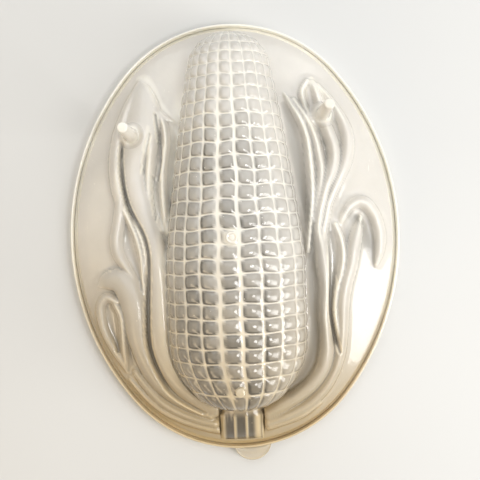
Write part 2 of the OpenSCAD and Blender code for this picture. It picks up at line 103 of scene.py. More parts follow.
RIGHT_RIDGES = (
    ((30, 77, 1, 2), (33.5, 70, 2, 5), (38, 61, 2, 7.5), (41, 51, 2, 8.5), (42, 40, 2.2, 9),
     (42.5, 30, 2.2, 9), (42.5, 20, 2.2, 8.5), (41.5, 10, 2, 8), (40.5, 0, 1.6, 6.5),
     (39.5, -10, 1.2, 4.5)),
    ((35, 73, 1.5, 4), (41, 63, 2, 6.5), (45, 53, 2.2, 7.5), (47, 43, 2.5, 8), (48, 34, 2.5, 8),
     (47, 25, 2.5, 7.5), (45, 15, 2.2, 7), (43, 6, 2, 6.5)),
    ((46, 83, 2, 4), (48, 75, 2, 7.5), (49.5, 66, 2.5, 9), (52, 57, 3, 9.5), (55, 48, 3, 9.5),
     (55.5, 40, 3, 9.5), (53.5, 32, 3, 9), (50.5, 25, 2.5, 9), (48, 17, 2.5, 9), (46, 9, 2.5, 9),
     (45, 1, 2.5, 9), (46.5, -8, 3, 9), (47.5, -18, 3.4, 9), (48, -30, 3, 9), (47, -44, 3, 9),
     (47.5, -56, 3, 9), (47.5, -66, 3.5, 9), (45, -75, 3.5, 8.5), (39, -83, 3.5, 8),
     (31, -89, 3.5, 7.5), (22, -94, 3.5, 7), (15, -98, 3, 6.5)),
    ((43, 84, 1.5, 4), (39.5, 77, 1.5, 6.5), (41, 69, 1.5, 6.5), (45, 59, 1.5, 5), (48.5, 51, 1.2, 2.5)),
    ((49, 82, 1.5, 3), (55, 74, 2, 5), (60, 65, 2.5, 7), (63.5, 56, 3, 7.5), (64, 47, 3, 7.5),
     (62, 38, 3, 7.5), (58.5, 30, 2.5, 7), (55, 23, 2.2, 7), (51.5, 15, 2, 7), (49.5, 7, 2, 7),
     (48, 0, 2, 7), (47.5, -8, 2, 7.5)),
    ((55, 4, 1.5, 4), (57.5, -4, 2, 6.5), (58.5, -13, 2, 7), (57, -22, 2, 7), (54.5, -30, 1.8, 7),
     (53, -38, 1.8, 7), (53, -48, 2, 7), (54.5, -57, 2, 7)),
    ((69.5, 8, 1, 4), (67.5, 1, 2.6, 7.5), (64.5, -9, 3.2, 8.5), (62.5, -19, 3.2, 8.5), (59.5, -28, 3.2, 8.5),
     (57.5, -38, 3.2, 8.5), (57, -48, 3, 8), (56.5, -58, 2.8, 8), (55, -68, 2.8, 7.5),
     (51.5, -78, 2.8, 7), (46, -87, 2.8, 6.5), (37, -95, 2.8, 6.5), (26, -100, 2.8, 6.5),
     (15, -103.5, 2.8, 6)),
    ((57.5, 2, 1, 1.5), (59.5, 8, 2, 4.5), (63.5, 13.5, 2.5, 6), (68.5, 16, 2.8, 7), (73, 14.5, 3, 7.5),
     (77, 9.5, 3, 7.5), (79.5, 3, 3, 7.5), (80.5, -4, 3, 7), (79.8, -12, 2.5, 6), (78, -19, 1.5, 3)),
    ((44, -95, 1.5, 3), (34, -101, 2, 4.5), (24, -104.5, 2, 4.5), (15, -107, 2, 4.5)),
)
# Slots cut into the ridges: x, y, half width and depth along each.
SLOTS = (
    ((-59.5, 52, 1.2, 3), (-60, 40, 1.5, 5), (-57.5, 20, 1.5, 6), (-50, 4, 1.5, 6), (-47.5, -5, 1.5, 6),
     (-47, -15, 1.6, 6), (-48.5, -38, 1.8, 6), (-48.5, -60, 1.8, 5), (-42, -78, 1.6, 4),
     (-34, -88, 1.4, 3), (-20, -97, 1.2, 2)),
    ((-40.5, 67, 0.8, 3), (-38.5, 45, 1, 5), (-40.5, 32, 0.8, 4)),
    ((-44, 56, 0.7, 3), (-46.5, 46, 0.9, 4), (-48, 35, 0.7, 3)),
    ((-43, 33, 0.8, 3), (-42.7, 20, 0.9, 4), (-42.5, 10, 0.7, 3)),
    ((-69, -40, 1, 4), (-68.5, -50, 1.6, 6), (-67.5, -62, 1, 4)),
    ((52, -1, 1, 3), (52.5, -13, 2.6, 7), (51.5, -28, 2, 7), (50.5, -42, 1.4, 6), (52, -54, 1.2, 5),
     (55, -66, 0.8, 3)),
    ((73, 3, 1.5, 4), (73.5, -6, 3, 6), (74, -14, 2, 4), (76, -20, 1, 2)),
)
# Clear places of the plastic, painted dark with the shaded inside that shows through: x, y, half width and
# strength along each.
CLEAR_BANDS = (
    ((29, 71, 1.5, 0.3), (32, 62, 3, 0.42), (34.5, 48, 3.5, 0.4), (36.5, 34, 3, 0.4), (38.5, 20, 2.5, 0.45),
     (40.5, 8, 2.2, 0.5), (41.5, -6, 2.2, 0.4), (42, -20, 3, 0.42), (42.5, -36, 3.5, 0.45),
     (42.5, -52, 3.5, 0.45), (40.5, -66, 3.5, 0.45), (35, -78, 3.5, 0.45), (27, -87, 3, 0.4)),
    ((67, 8, 1.5, 0.3), (71.5, 2, 3, 0.48), (73.5, -6, 4, 0.55), (75, -14, 2.5, 0.48), (76.5, -20, 1, 0.3)),
    ((60, 12, 2, 0.16), (64, 9, 3, 0.32), (68, 5, 3, 0.28)),
    ((-71, -40, 2, 0.1), (-70.5, -50, 3.5, 0.2), (-68, -62, 2.5, 0.15)),
    ((-59, 49, 1.6, 0.12), (-60, 40, 2.4, 0.16), (-58.5, 26, 2.4, 0.16), (-55, 12, 2.2, 0.12)),
)
# Pale bands, where the plastic is thicker, painted lighter as highlights along the leaf edges: x, y, half width
# and strength along each.
PALE_BANDS = (
    ((-50.5, 90, 2, 0.5), (-46.5, 89, 3, 0.6), (-42.5, 82, 3, 0.6), (-38.5, 73, 2.5, 0.55), (-33, 67, 1.5, 0.4)),
    ((45.5, 85, 2, 0.5), (43, 80, 1.5, 0.4), (41, 72, 1.2, 0.4)),
    ((45.5, 85, 2, 0.4), (49, 79, 2.5, 0.5), (52, 70, 3, 0.5)),
    ((-60, 44, 1.2, 0.5), (-63, 34, 1.6, 0.5), (-63.5, 22, 1.6, 0.5)),
    ((-44.5, 60, 1.2, 0.4), (-45.5, 46, 2, 0.6), (-44.5, 30, 2, 0.6), (-41.5, 14, 1.5, 0.5)),
)
# Ribs of the stem: place across its half width, and half width as a share of it.
STEM_RIBS = ((-0.87, 0.14), (-0.33, 0.1), (0.22, 0.1), (0.75, 0.26))
LEAF_SPREAD = 1.35
LEFT_FOOT = (-54.0, 56.0)
RIGHT_FOOT = (50.0, 64.0)
NUB = (0.0, -79.0)
PIP = (-1.5, -1.0)
# Shares of a kernel's length and width at which the lines of its surface lie.
ROW_SHARES = (0.0, 0.03, 0.08, 0.2, 0.35, 0.5, 0.65, 0.8, 0.92, 0.97)
COLUMN_SHARES = (0.0, 0.045, 0.12, 0.3, 0.5, 0.7, 0.88, 0.955)
COLUMN_TURN = 0.087


class MouldSettings(bpy.types.PropertyGroup):
    """Sizes of the mould's wall, cob, leaves, stem and feet"""

    wall: bpy.props.FloatProperty(
        name="Wall", description="Thickness of the mould's wall",
        default=0.0016, min=0.0008, max=0.003, unit="LENGTH")
    cob_half: bpy.props.FloatProperty(
        name="Cob half width", description="Half width of the cob where it is thickest",
        default=0.0375, min=0.03, max=0.04, unit="LENGTH")
    cob_rise: bpy.props.FloatProperty(
        name="Cob rise", description="Rise of the cob above the dome where it is thickest",
        default=0.034, min=0.026, max=0.038, unit="LENGTH")
    kernel_rows: bpy.props.IntProperty(
        name="Kernel rows", description="Rows of kernels from the tip to the thick end",
        default=28, min=20, max=28)
    kernel_columns: bpy.props.IntProperty(
        name="Kernel columns", description="Columns of kernels over the half round",
        default=11, min=7, max=11)
    kernel_height: bpy.props.FloatProperty(
        name="Kernel height", description="Height of a kernel above its grooves",
        default=0.0014, min=0.0008, max=0.002, unit="LENGTH")
    leaf_lift: bpy.props.FloatProperty(
        name="Leaf lift", description="Height of the leaves as a share of the drawn height",
        default=1.0, min=0.7, max=1.1)
    stem_half: bpy.props.FloatProperty(
        name="Stem half width", description="Half width of the stem",
        default=0.012, min=0.009, max=0.014, unit="LENGTH")
    stem_rise: bpy.props.FloatProperty(
        name="Stem rise", description="Rise of the stem above the dome",
        default=0.009, min=0.006, max=0.011, unit="LENGTH")
    foot_width: bpy.props.FloatProperty(
        name="Foot width", description="Diameter of the two tall feet",
        default=0.0065, min=0.005, max=0.008, unit="LENGTH")
    nub_width: bpy.props.FloatProperty(
        name="Nub width", description="Diameter of the short foot on the thick end",
        default=0.0048, min=0.0035, max=0.006, unit="LENGTH")
    pip_width: bpy.props.FloatProperty(
        name="Pip width", description="Diameter of the gate pip on the crown",
        default=0.006, min=0.004, max=0.008, unit="LENGTH")
    rings: bpy.props.IntProperty(
        name="Rings", description="Rings of faces from the cob's edge to the shoulder",
        default=64, min=32, max=96)


class LidSettings(bpy.types.PropertyGroup):
    """Sizes of the lid's panel, skirt, plug ridge and pull tab"""

    panel: bpy.props.FloatProperty(
        name="Panel", description="Thickness of the flat panel",
        default=0.0013, min=0.001, max=0.002, unit="LENGTH")
    skirt: bpy.props.FloatProperty(
        name="Skirt", description="Thickness of the skirt round the outside",
        default=0.0012, min=0.0008, max=0.0018, unit="LENGTH")
    ridge: bpy.props.FloatProperty(
        name="Plug ridge", description="Height of the plug ridge above the panel",
        default=0.0025, min=0.0015, max=0.003, unit="LENGTH")
    tab_radius: bpy.props.FloatProperty(
        name="Tab radius", description="Radius of the pull tab",
        default=0.0108, min=0.009, max=0.014, unit="LENGTH")
    tab_side: bpy.props.FloatProperty(
        name="Tab side", description="Distance of the pull tab's middle from the centre line",
        default=0.0054, min=0.0, max=0.012, unit="LENGTH")
    steps: bpy.props.IntProperty(
        name="Steps", description="Faces round the oval",
        default=480, min=120, max=720)


class FinishSettings(bpy.types.PropertyGroup):
    """Colours and gloss of the plastic"""

    milk: bpy.props.FloatVectorProperty(
        name="Milky plastic", description="Colour of the mould's plastic where the wall is plain",
        subtype="COLOR", size=3, default=(0.73, 0.695, 0.635), min=0.0, max=1.0)
    # The pale colour of thicker plastic, also used as a painted highlight on grooves, crests, rim and feet.
    thick: bpy.props.FloatVectorProperty(
        name="Thick plastic", description="Colour in the grooves and on the edges, where it is thick",
        subtype="COLOR", size=3, default=(0.98, 0.935, 0.83), min=0.0, max=1.0)
    # The dark colour of clearer plastic, also used as painted shade in hollows, folds, slots and on the kernels.
    thin_and_shade: bpy.props.FloatVectorProperty(
        name="Thin plastic", description="Colour on the kernels and in the slots, where it is thin",
        subtype="COLOR", size=3, default=(0.14, 0.13, 0.107), min=0.0, max=1.0)
    clear: bpy.props.FloatVectorProperty(
        name="Lid plastic", description="Colour of the lid's clearer plastic",
        subtype="COLOR", size=3, default=(0.88, 0.865, 0.82), min=0.0, max=1.0)
    gloss: bpy.props.FloatProperty(
        name="Roughness", description="Roughness of the polished plastic",
        default=0.16, min=0.02, max=0.6, subtype="FACTOR")


class StageSettings(bpy.types.PropertyGroup):
    """Place of the camera and level of the lamps"""

    height: bpy.props.FloatProperty(
        name="Camera height", description="Height of the camera above the table",
        default=0.45, min=0.3, max=2.0, unit="LENGTH")
    view: bpy.props.FloatProperty(
        name="Field of view", description="Angle that the camera sees",
        default=math.radians(34.05), min=0.1, max=2.0, unit="ROTATION")
    roll: bpy.props.FloatProperty(
        name="Turn", description="How far the mould lies turned in the picture",
        default=math.radians(2.2), min=-1.0, max=1.0, unit="ROTATION")
    lamp_level: bpy.props.FloatProperty(
        name="Lamp level", description="Level of all the lamps",
        default=1.0, min=0.1, max=4.0)


def step_up(low, high, value):
    """Smooth step: 0 below low, 1 above high, and 3t^2 - 2t^3 between them."""
    t = np.clip((value - low) / (high - low), 0, 1)
    return t * t * (3 - 2 * t)


def oval_points(share, inset):
    """Points on the oval drawn in by inset, at shares of the way round clockwise from the tip end.

    The oval is four arcs: radius END_R about (0, +-END_C) and SIDE_R about (+-SIDE_C, 0)."""
    end_way = END_R * TURN
    half_way = 2 * (end_way + SIDE_R * (math.pi / 2 - TURN))
    share = np.mod(share, 1.0)
    right = share <= 0.5
    way = np.where(right, share, 1 - share) * 2 * half_way
    low = way > half_way - end_way
    side = (way >= end_way) & ~low
    angle = np.where(side, TURN + (way - end_way) / SIDE_R,
                     np.where(low, math.pi - (half_way - way) / END_R, way / END_R))
    radius = np.where(side, SIDE_R, END_R) - inset
    x = np.where(side, -SIDE_C, 0.0) + radius * np.sin(angle)
    y = np.where(side, 0.0, np.where(low, -END_C, END_C)) + radius * np.cos(angle)
    return np.stack([np.where(right, x, -x), y], -1)


def rim_gap(x, y):
    """How far a point lies inside the oval: the radius of its arc less the distance from its centre."""
    ax = np.abs(x)
    ay = np.abs(y)
    at_end = SIDE_C * (ay - END_C) > END_C * ax
    return np.where(at_end, END_R - np.hypot(ax, ay - END_C), SIDE_R - np.hypot(ax + SIDE_C, ay))


def dome(x, y):
    """Plain dome: the shoulder's height and 15 (1 - (1 - g / 46)^2.2), with g the distance from the wall."""
    g = np.clip((rim_gap(x, y) - WALL_IN) / 46.0, 0, 1)
    return SHOULDER_Z + 15.0 * (1 - (1 - g) ** 2.2)


def smooth_run(points, steps=5):
    """A Catmull-Rom curve through points of any size, with steps pieces between each two."""
    p = np.asarray(points, float)
    p = np.vstack([2 * p[0] - p[1], p, 2 * p[-1] - p[-2]])
    t = np.linspace(0, 1, steps, endpoint=False)[None, :, None]
    a, b, c, d = p[:-3, None], p[1:-2, None], p[2:-1, None], p[3:, None]
    run = 0.5 * (2 * b + (c - a) * t + (2 * a - 5 * b + 4 * c - d) * t ** 2
                 + (3 * (b - c) + d - a) * t ** 3)
    return np.vstack([run.reshape(-1, p.shape[1]), p[-2]])


def bulge(away, power):
    """Section of a slot or a hem: (1 - away^2)^power, and 0 beyond its edge."""
    return np.clip(1 - away ** 2, 0, 1) ** power


def leaf_section(away, half):
    """Section of a leaf: flat with steep edges where it is wide, and with a sharp crest where it is narrow.

    It is (1 - k) (1 - a^2)^p + k (1 - a)^1.5, with p from 0.7 to 0.4 and k from 0.3 to 0 as it widens.
    Beyond its edge a low hem of width HEM_W runs out: HEM_SHARE bulge(d / (w + HEM_W), 2)."""
    a = np.clip(away / (half * LEAF_SPREAD), 0, 1)
    power = 0.7 - 0.3 * np.clip((half - 2.5) / 2, 0, 1)
    sharp = 0.3 * np.clip((4.0 - half) / 2, 0, 1)
    body = (1 - sharp) * (1 - a ** 2) ** power + sharp * (1 - a) ** 1.5
    return np.maximum(body, HEM_SHARE * bulge(away / (half + HEM_W), 2.0))


def ridge_field(x, y, run, section, hem):
    """Greatest h section(d, w) over a run's pieces, with d the distance from the run.

    hem is how far the section reaches beyond the half width w."""
    height = np.zeros(x.shape)
    low = (run[:, :2] - run[:, 2:3]).min(0) - hem
    high = (run[:, :2] + run[:, 2:3]).max(0) + hem
    near = np.flatnonzero((x > low[0]) & (x < high[0]) & (y > low[1]) & (y < high[1]))
    px = x.flat[near][:, None]
    py = y.flat[near][:, None]
    a = run[:-1]
    ab = run[1:] - a
    f = np.clip(((px - a[:, 0]) * ab[:, 0] + (py - a[:, 1]) * ab[:, 1])
                / (ab[:, 0] ** 2 + ab[:, 1] ** 2), 0, 1)
    away = np.hypot(px - a[:, 0] - f * ab[:, 0], py - a[:, 1] - f * ab[:, 1])
    half = a[:, 2] + f * ab[:, 2]
    height.flat[near] = ((a[:, 3] + f * ab[:, 3]) * section(away, half)).max(1)
    return height


def leaves(x, y):
    """Height of the leaves above the dome: the highest ridge at a point, less the deepest slot there."""
    flat_x = np.asarray(x, float)
    flat_y = np.asarray(y, float)
    height = np.zeros(flat_x.shape)
    for ridge in LEFT_RIDGES + RIGHT_RIDGES:
        height = np.maximum(height, ridge_field(flat_x, flat_y, smooth_run(ridge), leaf_section, HEM_W))
    cut = np.zeros(flat_x.shape)
    for slot in SLOTS:
        cut = np.maximum(cut, ridge_field(flat_x, flat_y, smooth_run(slot), lambda d, w: bulge(d / w, 1), 0))
    return np.maximum(height - cut, 0)


def relief(x, y, lift):
    """Outer surface beside the cob: the dome and the leaves, which fade out over 3 mm at the wall."""
    fade = np.clip((rim_gap(x, y) - WALL_IN) / 3.0, 0, 1)
    return dome(x, y) + lift * leaves(x, y) * fade


def soft_relief(x, y, lift):
    """Mean relief over circles of 0.45 and 0.9 mm, so that steep edges have no steps."""
    total = relief(x, y, lift) * 2
    for turn in np.arange(6) * math.pi / 3:
        for away in (0.45, 0.9):
            shift = turn + away
            total = total + relief(x + away * math.cos(shift), y + away * math.sin(shift), lift)
    return total / 14


def cell_lines(count, inside):
    """Lines across count kernels at the shares inside each, and each line's place in its kernel."""
    at = (np.arange(count)[:, None] + np.array(inside)[None, :]).ravel()
    return np.append(at, float(count)), np.append(np.tile(inside, count), 0.0)


def pillow(s, before, after):
    """Section of a kernel across its place s, between the shares that its two grooves take.

    With t the place between the grooves, it is (1 - (2 t - 1)^2)^0.7."""
    t = np.clip((s - before) / (1 - before - after), 0, 1)
    return (4 * t * (1 - t)) ** 0.7


def cob_profile(t, half, rise, stem_half, stem_rise):
    """Half width and rise of the cob at share t of its length from the tip.

    A taper 1 - 0.5 (1 - t / 0.62)^1.2, a round nose over 0.088, and round ends that meet the stem."""
    taper = 1 - 0.5 * np.clip(1 - t / 0.62, 0, 1) ** 1.2
    nose = np.sqrt(1 - np.clip(1 - t / 0.088, 0, 1) ** 2)
    butt_round = math.sqrt(1 - (stem_half / half) ** 2)
    butt = np.sqrt(1 - (np.clip((t - 0.81) / 0.19, 0, 1) * butt_round) ** 2)
    crown_round = (1 - (stem_rise / rise) ** 3.5) ** (1 / 3.5)
    crown = (1 - (np.clip((t - 0.88) / 0.12, 0, 1) * crown_round) ** 3.5) ** (1 / 3.5)
    return half * taper * nose * butt, rise * taper * nose * crown


def cob_patch(s):
    """Points of the cob and stem: P = ((R + b) sin a, y, z0 + (H + b) cos a), with b the bump.

    Lines run from the tip to the stem's end and from left to right. Kernels vary a little in height and
    tilt, and their lines wave. Returns outer and inner points, and two masks: the pale colour of thicker
    plastic with painted highlights in the grooves and on the stem ribs' crests, and painted shade on the
    kernel tops, round the kernel edges and between the stem's ribs."""
    rows = s.kernel_rows
    cols = s.kernel_columns
    half, rise = s.cob_half / MM, s.cob_rise / MM
    stem_half, stem_rise = s.stem_half / MM, s.stem_rise / MM
    stem_y = WALL_IN + 1.5 - HALF_L
    row_at, row_in = cell_lines(rows, ROW_SHARES)
    col_at, col_in = cell_lines(cols, COLUMN_SHARES)
    u = row_at / rows
    share = 1.025 * u - 0.05 * (1 - np.exp(-u / 0.12)) + 0.025 * u ** 40
    y = TIP_Y - (TIP_Y - BUTT_Y) * share / share[-1]
    cob_half, cob_rise = cob_profile((TIP_Y - y) / (TIP_Y - BUTT_Y), half, rise, stem_half, stem_rise)
    stem_lines = 2 * len(ROW_SHARES)
    down = np.arange(1, stem_lines + 1) / stem_lines
    y = np.append(y, BUTT_Y + (stem_y - BUTT_Y) * down)
    line_half = np.append(cob_half, np.full(stem_lines, stem_half))
    line_rise = np.append(cob_rise, stem_rise * np.sqrt(1 - down ** 4))
    angle = math.pi * (col_at / cols - 0.5)
    row_of = np.minimum(row_at.astype(int), rows - 1)
    col_of = np.minimum(col_at.astype(int), cols - 1)
    groove = np.full(cols + 1, 0.03)
    groove[cols // 2:cols // 2 + 2] = (0.1, 0.08)
    across = pillow(col_in, groove[col_of], groove[col_of + 1])
    pad = pillow(row_in, 0.02, 0.02)[:, None] * across[None, :]
    chance = np.random.default_rng(5)
    tall, tilt, lean = (chance.uniform(low, high, (rows, cols))[row_of][:, col_of]
                        for low, high in ((0.86, 1.1), (-0.3, 0.3), (-0.3, 0.3)))
    small = np.clip(cob_half / 12.0, 0, 1)[:, None]
    grain = pad * small * (tall + tilt * (row_in[:, None] - 0.5) + lean * (col_in[None, :] - 0.5))
    sway = (np.sin(math.pi * u)[:, None] * np.sin(math.pi * col_at / cols)[None, :])
    wave_y = 0.6 * sway * np.sin(2.3 * col_at[None, :] + 0.6 * row_at[:, None])
    wave_a = 0.012 * sway * np.sin(1.7 * row_at[:, None] + 0.9 * col_at[None, :])
    wave_a = wave_a - COLUMN_TURN * np.cos(angle)[None, :] * np.clip((1 - u) * rows / 3, 0, 1)[:, None]
    grain = grain * (1 - 0.5 * step_up(1.0, 1.45, np.abs(angle)))[None, :]
    flat = np.zeros((stem_lines, len(angle)))
    turn = angle[None, :] + np.vstack([wave_a, flat])
    along = y[:, None] + np.vstack([wave_y, flat])
    v = np.sin(angle)[None, :]
    rib = np.max([bulge(np.minimum(np.abs(v - at) / wide, 1), 0.7) for at, wide in STEM_RIBS], 0)
    rib = np.maximum(rib, step_up(0.88, 0.96, np.abs(v)))
    rib = rib * step_up(0.08, 0.25, down)[:, None]
    fade = (line_rise[len(row_at):] / stem_rise)[:, None]
    bump = np.vstack([s.kernel_height / MM * grain, -1.2 * (1 - rib) * fade])
    bump[:, 0] = 0
    bump[:, -1] = 0
    edge = 1 - pad
    # Painted shade round each kernel's edge, heavier on its left and lower sides.
    shady = 0.3 + 0.9 * step_up(0.4, 0.1, col_in)[None, :] + 0.9 * step_up(0.6, 0.9, row_in)[:, None]
    kernel_edge_shade = step_up(0.35, 0.6, edge) * (1 - step_up(0.7, 0.88, edge)) * shady
    # Painted shade on the kernel tops, where the clearer plastic shows the shaded inside: darker towards the
    # stem end, a random tone for each kernel, and fainter on the outer columns, most on the right where the
    # light falls.
    down_cob = y[:len(row_at)]
    dark = (0.06 + 0.46 * step_up(98, 30, down_cob) + 0.14 * step_up(10, -60, down_cob))[:, None]
    dark = dark * chance.uniform(0.75, 1.2, (rows, cols))[row_of][:, col_of]
    dark = dark * (1 - 0.35 * step_up(-0.5, -1.2, angle) - 0.6 * step_up(0.3, 0.9, angle))[None, :]
    line = np.sin(1.9 * row_at[:, None] + 2.7 * col_at[None, :]) * np.sin(
        0.8 * row_at[:, None] - 1.3 * col_at[None, :])
    line = (0.78 + 0.22 * line) * (1 - 0.45 * step_up(0.6, 1.0, angle))[None, :]
    to_pip = np.hypot(half * np.sin(turn[:len(row_at)]) - PIP[0], along[:len(row_at)] - PIP[1])
    pale = 0.8 * step_up(5.4, 4.2, to_pip)
    # Pale colour of thicker plastic with a painted highlight in the grooves, fainter on the right columns, and
    # on the stem ribs' crests, and pale round the pip; painted shade on the kernel tops and edges and in the
    # stem's grooves between its ribs.
    thick = np.vstack([np.maximum(step_up(0.82, 1.0, edge) * line, pale),
                       0.8 * rib ** 5 * np.ones(fade.shape)])
    clear_and_shade = np.vstack([dark * (1 - step_up(0.75, 0.95, edge) + 0.6 * kernel_edge_shade),
                        0.97 * (1 - rib ** 3) * step_up(0.0, 0.3, down)[:, None]])
    base = dome(line_half, y)[:, None]
    half_here = line_half[:, None] + bump
    rise_here = line_rise[:, None] + bump
    points = np.stack([half_here * np.sin(turn), along, base + rise_here * np.cos(turn)], -1)
    inward = s.wall / MM
    inner = np.stack([(half_here - inward) * np.sin(turn),
                      along + inward * np.linspace(-1, 1, len(y))[:, None],
                      base - inward * (1 + 0.5 * np.abs(v)) + rise_here * np.cos(turn)], -1)
    points[0] = points[0, len(angle) // 2] * [0, 1, 1]
    inner[0] = inner[0, len(angle) // 2] * [0, 1, 1]
    return points, inner, thick, clear_and_shade


def edge_loop(grid):
    """The patch's edge, clockwise from the tip: down the right side, along the end and up the left."""
    return np.concatenate([grid[:, -1], grid[-1, -2::-1], grid[-2:0:-1, 0]])


def quads(a, b, c, d):
    """Two triangles for each set of four corners, as one array of vertex numbers."""
    return np.concatenate([np.stack([a, b, c], -1).reshape(-1, 3), np.stack([a, c, d], -1).reshape(-1, 3)])


def patch_rings_faces(ids, loop_ids, ring_ids):
    """Faces of the patch and of the rings round it. ids is the patch's grid of vertex numbers."""
    faces = [quads(ids[1:-1, :-1], ids[1:-1, 1:], ids[2:, 1:], ids[2:, :-1])]
    faces.append(np.stack([np.full(ids.shape[1] - 1, ids[0, 0]), ids[1, 1:], ids[1, :-1]], -1))
    rows = np.vstack([loop_ids, ring_ids])
    after = np.roll(rows, -1, 1)
    faces.append(quads(rows[:-1], rows[1:], after[1:], after[:-1]))
    return np.concatenate(faces)


def drop_flat(faces):
    """Triangles with three different corners."""
    a, b, c = faces.T
    return faces[(a != b) & (b != c) & (a != c)]


def offset_below(points, wall):
    """Heights one wall below a surface given as rings: the lowest z - sqrt(wall^2 - d^2) over near points."""
    z = points[..., 2] - wall
    for ring_step in range(-4, 5):
        for spoke_step in range(-3, 4):
            near = np.roll(points, spoke_step, 1)
            lo = max(0, ring_step)
            hi = min(len(points), len(points) + ring_step)
            here = points[lo - ring_step:hi - ring_step]
            d = np.hypot(*(near[lo:hi, :, :2] - here[..., :2]).transpose(2, 0, 1))
            low = np.where(d < wall, near[lo:hi, :, 2] - np.sqrt(np.clip(wall ** 2 - d ** 2, 0, None)), 1e9)
            target = z[lo - ring_step:hi - ring_step]
            np.minimum(target, low, out=target)
    return z


def blur_ring(values, steps):
    """Mean of values over a circle of steps points, for smoothing shares of the way round."""
    turns = np.concatenate([values - 1, values, values + 1])
    kernel = np.ones(steps) / steps
    return np.convolve(turns, kernel, "same")[len(values):2 * len(values)]


